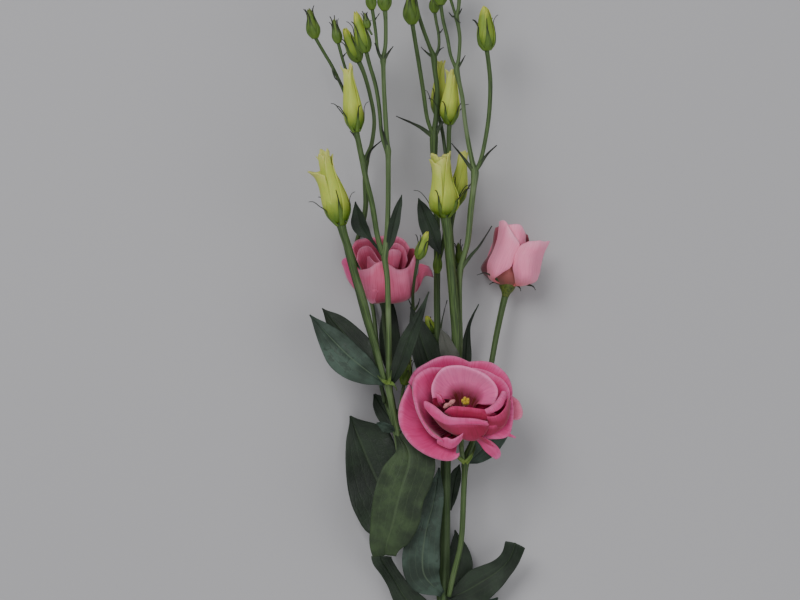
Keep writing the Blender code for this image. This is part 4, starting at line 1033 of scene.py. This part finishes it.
PETALS_B = [
    ("b_back", "dusky", "flower_b_petal_1", [
        [(-42, 190, 10), (-37, 191.5, 7), (-31, 191.5, 7), (-26, 189, 10)],
        [(-49, 202, 17), (-43, 206, 12.5), (-35, 206.5, 11), (-27, 205, 13), (-22, 201.5, 17)],
        [(-52.5, 210.5, 24), (-50, 214.5, 24), (-44, 216, 23), (-36, 217, 22), (-27, 217, 22),
         (-22, 214.8, 23),
         (-18.5, 210.5, 24)],
        [(-53, 211.5, 23), (-50.3, 215.8, 22.5), (-44, 217.3, 21.5), (-36, 218.3, 20.5), (-27, 218.5, 20.5),
         (-21.8, 216.3, 21.5), (-18, 211.5, 23)]]),
    ("b_right_back", "back_petal_in_shade", None, [
        [(-27, 188, 9), (-24, 187, 12)],
        [(-21, 200, 14), (-18, 200, 16), (-16, 197, 17)],
        [(-19.5, 210.8, 21.5), (-15.8, 210.8, 22.5), (-13.4, 208, 22), (-13, 203.5, 21)]]),
    ("b_inner_left", "dusky", None, [
        [(-41, 188, 15), (-38.5, 189, 13.5), (-35, 187.5, 15)],
        [(-47, 198, 24), (-44, 201, 21), (-40, 199.5, 21.5), (-36, 195.5, 26)],
        [(-50, 204, 30), (-49, 209.3, 29), (-46.3, 212.5, 28), (-43, 212.5, 27.5), (-40, 209.3, 28),
         (-37.5, 205, 29), (-35.5, 202.5, 31)]]),
    ("b_inner_fold", "dusky", None, [
        [(-40, 189, 16), (-36, 188, 17)],
        [(-43.5, 198, 25), (-40, 198, 28), (-37, 197, 29)],
        [(-43.6, 206.5, 27), (-42, 205.5, 29.5), (-39.5, 203, 32), (-37, 201, 33.5)]]),
    ("b_inner_right", "dusky", None, [
        [(-32, 188, 15), (-29.5, 189.5, 13.5), (-26.5, 187, 15)],
        [(-31, 197, 25), (-27.5, 201.5, 22), (-22, 196.5, 25)],
        [(-32, 203.5, 31), (-30.3, 210.5, 29), (-27, 214, 28), (-23, 213, 27.5), (-20.5, 209.5, 28),
         (-19.5, 203.5, 30)]]),
    ("b_inner_roll", "dusky", None, [
        [(-32, 189, 17), (-29, 189, 17)],
        [(-31.5, 198, 28), (-28.5, 198.5, 29), (-25.5, 198, 27)],
        [(-31.5, 208, 30), (-29.5, 210.5, 31.5), (-26, 210.5, 31), (-23.3, 208.5, 28.5)]]),
    ("b_left", "rose", "flower_b_petal_2", [
        [(-44, 184, 6), (-43, 188, 9), (-42, 192, 13)],
        [(-50, 185.5, 4), (-51.5, 192, 8), (-50, 200, 14)],
        [(-54, 190, 2.6), (-56.5, 196.5, 7), (-56.5, 203, 13), (-52, 206, 18)],
        [(-56.5, 193.5, 2.2), (-58.3, 199, 7), (-59.3, 204, 12), (-55, 206.3, 17)]]),
    ("b_right", "dusky", "flower_b_petal_5", [
        [(-24, 183, 10), (-22, 184.5, 13), (-21, 187, 17)],
        [(-15, 184.5, 10), (-13.5, 189, 14), (-13.5, 195, 20)],
        [(-12, 188.5, 13.5), (-11, 195, 19), (-12.5, 201.5, 24)],
        [(-9, 194.4, 14), (-8, 197.5, 19.5), (-9, 201.2, 23)],
        [(-3.6, 193.6, 12), (-4.6, 197.2, 16), (-6.5, 200.4, 20)]]),
    ("b_front_left", "dusky", "flower_b_petal_3", [
        [(-43.5, 181, 12), (-40, 178.6, 14), (-36, 178.6, 15), (-32, 179, 14)],
        [(-45.8, 183.5, 23), (-42.8, 180, 26), (-39, 178.9, 28), (-33, 180, 26)],
        [(-48.5, 191, 29), (-44.5, 189.5, 34), (-40, 189.5, 36.5), (-32.5, 191, 33)],
        [(-50, 197, 31), (-45, 197.3, 35.3), (-40.5, 199, 37), (-36.5, 201.5, 37), (-34, 202.5, 34.5)],
        [(-50.2, 198, 30.5), (-45, 198.4, 34.5), (-40.5, 200.2, 36), (-36.5, 202.6, 36),
         (-34, 203.3, 34)]]),
    ("b_front_right", "dusky", "flower_b_petal_4", [
        [(-33, 179, 14), (-29, 178.5, 15), (-23, 179, 14), (-18, 182, 12)],
        [(-33, 180, 26), (-28, 179, 28), (-22, 180.2, 27.5), (-17, 183, 24), (-13.8, 187.5, 19)],
        [(-32.5, 192, 33), (-27.5, 190, 37), (-22, 190, 36.5), (-17, 192.5, 31.5), (-14.4, 196, 27)],
        [(-33, 202, 34.5), (-30, 199.5, 37), (-25.5, 197.2, 37.5), (-20, 198.3, 35.5), (-16.5, 203, 32.5),
         (-15, 206.5, 30)],
        [(-33, 203, 34), (-30, 200.6, 36), (-25.5, 198.2, 36.5), (-20, 199.4, 34.5), (-17, 203.6, 32),
         (-15.3, 207, 30)]]),
    ("b_left_bump", "dusky", None, [
        [(-42, 186.5, 32), (-39, 186.5, 33.5), (-36.5, 186, 32)],
        [(-43.5, 183, 30), (-40.3, 182.5, 33), (-37.5, 183, 31)],
        [(-42.5, 178.8, 26), (-40, 177.9, 28), (-37.8, 179.5, 27)]]),
]
PETALS_C = [
    ("c_back_right", "pale", "flower_c_petal_1", [
        [(36, 190, 8), (41, 190, 6), (46, 190.5, 8)],
        [(30, 197, 7), (41, 196, 3), (52, 198, 6)],
        [(29, 205, 7), (41, 204, 2.5), (53, 206, 6)],
        [(32, 214, 10), (42, 213, 5), (52.5, 214, 10)],
        [(35, 223, 15), (43, 223, 10), (52, 220, 14)]]),
    ("c_right_dark", "back_petal_in_shade", None, [
        [(47, 198, 14), (52, 199, 12)],
        [(50, 208, 19), (54, 208, 16)],
        [(50.5, 216, 21), (54, 215.5, 18)],
        [(50.8, 221.5, 21), (53.2, 219, 18.5)]]),
    ("c_back_left", "back_petal_in_shade", "flower_c_petal_2", [
        [(31, 192, 8), (33, 192, 16)],
        [(26.3, 197, 6), (26.5, 196.5, 11), (30.5, 196.5, 18)],
        [(25.4, 200, 6), (26.5, 200.5, 12), (30.5, 200.5, 19)],
        [(28.3, 204.8, 9), (29.5, 205.3, 14), (33, 206, 20)],
        [(31.5, 210, 12), (32.5, 210.5, 16), (36, 212, 21)],
        [(33, 220, 14), (34, 220.5, 17), (37, 222, 20)],
        [(34, 223.6, 15), (35, 224.3, 17), (37.5, 225, 19)]]),
    ("c_base", "claw", None, [
        [(36, 190, 17), (41, 189.5, 19.5), (46.5, 190, 18)],
        [(34.5, 195, 21), (41, 196, 24.5), (47, 196, 22)],
        [(37, 204, 24), (41.5, 204, 25.5), (46, 204, 24)]]),
    ("c_top", "pale", None, [
        [(40, 192, 19), (44, 192, 20), (47, 193, 19)],
        [(40, 205, 26), (45, 205, 27), (50, 206, 24)],
        [(41, 217, 26.5), (46.5, 215.5, 27.8), (51.5, 213.5, 24)],
        [(40, 225, 24.5), (42.3, 224.5, 25.5), (46, 224.8, 26.5), (49.3, 223.6, 25.5), (51.2, 220, 23.5),
         (51.5, 214.5, 22.5)],
        [(40, 225.8, 24), (42.3, 225.2, 25), (46, 225.6, 26), (49.6, 224.4, 25), (51.6, 220, 23),
         (51.8, 214.5, 22)]]),
    ("c_front_left", "pale", "flower_c_petal_3", [
        [(31, 192, 16), (32, 191.8, 19), (33.2, 192.6, 21)],
        [(29, 197, 16), (31.5, 195.5, 24), (35, 195, 26), (38, 196.8, 27)],
        [(29.2, 203, 17), (33.5, 202, 27), (39, 200.5, 30), (42.8, 200, 29)],
        [(32.5, 210, 17.5), (36.5, 209, 27.5), (41.5, 207, 31), (45, 206.5, 29.5)],
        [(35, 218, 18.5), (38.5, 216.5, 27), (43, 214.5, 30), (48, 212, 28.5)],
        [(36, 226, 20), (37.7, 226.5, 24.5), (40.3, 225, 27.5), (43.8, 219.5, 29.3), (47.6, 213.5, 28.8)],
        [(36, 227.4, 19), (37.7, 227.9, 23), (40.4, 226.2, 26), (44.2, 220, 28.6), (48, 213.8, 28)]]),
    ("c_front_right", "pale", "flower_c_petal_4", [
        [(45.5, 190, 19), (48, 188.9, 21), (52, 189, 19), (57, 190.5, 14)],
        [(45, 195, 25), (49, 193.5, 29), (55, 193.5, 27), (60.2, 195.5, 17)],
        [(43.8, 200, 27.5), (49, 199.5, 31.5), (55.5, 199.5, 29), (61.4, 201.5, 18.5)],
        [(44.5, 206, 29), (50, 206, 32.3), (56.5, 206, 29.8), (63, 208, 20)],
        [(47.5, 211.5, 29), (52, 210.7, 32), (58.5, 210.5, 30), (65, 212.3, 21)],
        [(49.5, 213.6, 28), (53.5, 215.2, 30), (60, 215.5, 28), (66.6, 215.7, 21)]]),
]
FLOWER_SEPALS = {
    "a": [(3.2, -1), (6, 0.2), (9, 1.8), (12, 3), (14, 3.6)],
    "b": [(2.6, -1), (5, 0.5), (7.5, 2.5), (9, 5), (9.6, 8)],
}
RECEPTACLE_C = [
    (39.9, 182, 14, 2.2), (40.3, 184.3, 14.1, 3.0), (40.8, 187, 14.2, 4.6), (41.3, 190.6, 14.4, 5.8)]
REAR_BUD_STALK = [
    (-33.3, 118, 29, 1.2), (-35.4, 130, 33, 1.3), (-39.4, 150, 37, 1.3), (-45.4, 170, 40, 1.3),
    (-50.2, 188, 42, 1.3), (-54.8, 205, 45, 1.3), (-57.8, 218, 49, 1.2), (-59, 223.5, 52, 1.0)]
STALK_A = [(14, 84, 27.6, 1.5), (13, 90, 29.4, 1.5), (13, 96.5, 29.4, 1.6), (13.3, 101, 30, 2.6),
           (13.5, 104.2, 31.6, 4.4)]
STALK_B = [(-30.9, 134.5, 37.2, 1.6), (-31.8, 150, 27, 1.4), (-33.5, 165, 15.5, 1.4), (-33.6, 174, 10.4, 1.8),
           (-33.5, 180.2, 10.2, 4.2)]


def stamens(name, flower, reach, lean, shift=(0, 0, 0), count=5, first=30):
    """Thin filaments round the pistil, each with a long yellow anther on its end."""
    along, right, back = axis_frame(flower["axis"])
    foot, shift = Vector(flower["foot"]), Vector(shift)
    threads, anthers = Piece(name + "_filaments"), Piece(name + "_anthers")
    for index in range(count):
        angle = math.radians(first + index * 360 / count)
        outward = right * math.cos(angle) + back * math.sin(angle)
        top = foot + along * reach + outward * lean + shift
        path = [(*(foot + along * 3 + outward * 2.2), 0.4),
                (*(foot + along * reach * 0.6 + outward * lean + shift * 0.4), 0.35), (*top, 0.3)]
        threads.bar((8, 14), bar_place(path, 14, 0))
        tip = top + along * 3.4 + outward * 0.8
        mid = top + along * 1.6 + outward * 0.2
        anthers.bar((12, 10), bar_place([(*top, 0.7), (*mid, 1.5), (*tip, 0.8)], 10, 0.12, 0))
    threads.done(FINISHES["stigma"], "pistil")
    anthers.done(FINISHES["anther"], "pistil")


def pistil(name, flower, height, node=(), shift=(0, 0, 0)):
    """Ovary, a style that leans by the shift, and a stigma of two broad lobes."""
    along, right, back = axis_frame(flower["axis"])
    foot, shift = Vector(flower["foot"]), Vector(shift)
    body = Piece(name)
    outline = [(1.8, 1.5), (2.7, 6), (1.6, 10), (1.0, 13), (1.0, height - 2), (1.5, height)]
    body.bar((18, 30), bar_place([(*(foot + along * up + shift * (up / height) ** 2), radius)
                                  for radius, up in outline], 30, 0.08, 0), 0.2)
    start = foot + along * (height - 0.5) + shift
    for side in (-1, 1):
        lobe = [(*start, 1.0), (*(start + right * side * 1.6 + back * side * 1.2 + along * 1.0), 1.6),
                (*(start + right * side * 3.2 + back * side * 2.6 + along * 0.2), 0.7)]
        body.bar((16, 12), bar_place(lobe, 12, 0.1, 0), 0.7)
    body.done(FINISHES["stigma"], "pistil", node)


def flowers():
    for letter, flower, petals, slots in (("a", FLOWER_A, PETALS_A, "petal_rose"),
                                          ("b", FLOWER_B, PETALS_B, "petal_rose"),
                                          ("c", FLOWER_C, PETALS_C, "petal_pale")):
        for index, (name, finish, node, rows) in enumerate(petals):
            # the darker petal finishes are painted shade, deep in a flower or behind other petals
            slot = "petal_deep" if finish in ("rose_in_shade", "back_petal_in_shade") else slots
            tone, seed = index * 0.37 % 1, index * 5 + ord(letter)
            petal("petal_" + name, flower, finish, slot, rows, node, tone, seed)
        if letter in FLOWER_SEPALS:
            calyx(f"flower_{letter}_calyx", flower["foot"], flower["axis"], [FLOWER_SEPALS[letter]] * 5, 2.6,
                  15, ord(letter))
    stamens("flower_a", FLOWER_A, 17, 1.1, (1.5, 6.3, 3.4))
    stamens("flower_b", FLOWER_B, 13, 3.0)
    stamens("flower_c", FLOWER_C, 13, 2.6)
    stem("flower_c_receptacle", RECEPTACLE_C, "receptacle", spacing=0.8)
    stem("rear_bud_stalk", REAR_BUD_STALK, "stem_dark")
    stem("flower_a_stalk_skin", STALK_A, "stem", ("flower_a_stalk",), spacing=1.2)
    stem("flower_b_stalk_skin", STALK_B, "stem_dark", ("flower_b_stalk",), spacing=1.2)
    pistil("flower_a_pistil_body", FLOWER_A, 17, ("flower_a_pistil",), (-8.2, 5.6, 5.2))
    pistil("flower_b_pistil_body", FLOWER_B, 17)
    pistil("flower_c_pistil_body", FLOWER_C, 17)


# ---- room, lights and camera -------------------------------------------------------------------------------
VIEW_CENTRE = (-24, 180)        # the middle of what the camera sees, in the plan
VIEW_WIDTH = 480
CAMERA_HEIGHT = 2000            # above the middle of the spray's depth
MIDDLE_DEPTH = 35
SENSOR = 36


def floor():
    shape = bmesh.new()
    bmesh.ops.create_grid(shape, x_segments=8, y_segments=8, size=6)
    for vert in shape.verts:
        vert.co.z = FLOOR_HEIGHT
    mesh = bpy.data.meshes.new("floor")
    shape.to_mesh(mesh)
    shape.free()
    finish = Finish("pale_floor", 0.85, Specular_IOR_Level=0.1)
    cloud = finish.noise(finish.room(), 2.0, 2.0)
    finish.set("Base Color", finish.mix(cloud, tint(176, 175, 178), tint(182, 181, 183)))
    mesh.materials.append(finish.material)
    item = bpy.data.objects.new("floor", mesh)
    bpy.context.collection.objects.link(item)


def light(name, place, size, power, colour=(1, 1, 1)):
    lamp = bpy.data.lights.new(name, "AREA")
    lamp.size = size
    lamp.energy = power
    lamp.color = colour
    item = bpy.data.objects.new(name, lamp)
    item.location = place
    aim = Vector(LIGHT_AIM) - Vector(place)
    item.rotation_euler = aim.to_track_quat("-Z", "Y").to_euler()
    bpy.context.collection.objects.link(item)


def room():
    floor()
    light("key", (-0.9, 1.3, 1.9), 1.2, 34)
    light("fill", (1.4, -0.4, 1.6), 1.6, 12)
    light("low", (-0.2, -1.6, 1.2), 1.4, 8)
    world = bpy.data.worlds.new("studio")
    world.use_nodes = True
    backdrop = world.node_tree.nodes["Background"]
    backdrop.inputs["Color"].default_value = (0.9, 0.92, 0.95, 1)
    backdrop.inputs["Strength"].default_value = 0.35
    bpy.context.scene.world = world
    lens = bpy.data.cameras.new("camera")
    lens.sensor_width = SENSOR
    lens.lens = SENSOR * CAMERA_HEIGHT / VIEW_WIDTH
    lens.clip_end = 20
    camera = bpy.data.objects.new("camera", lens)
    camera.location = plan_to_frame((*VIEW_CENTRE, MIDDLE_DEPTH + CAMERA_HEIGHT))
    bpy.context.collection.objects.link(camera)
    bpy.context.scene.camera = camera


def spray():
    shoots()
    for seed, (name, design) in enumerate(BUDS.items()):
        bud(name, design, seed + 1)
    foliage()
    flowers()


spray()
room()
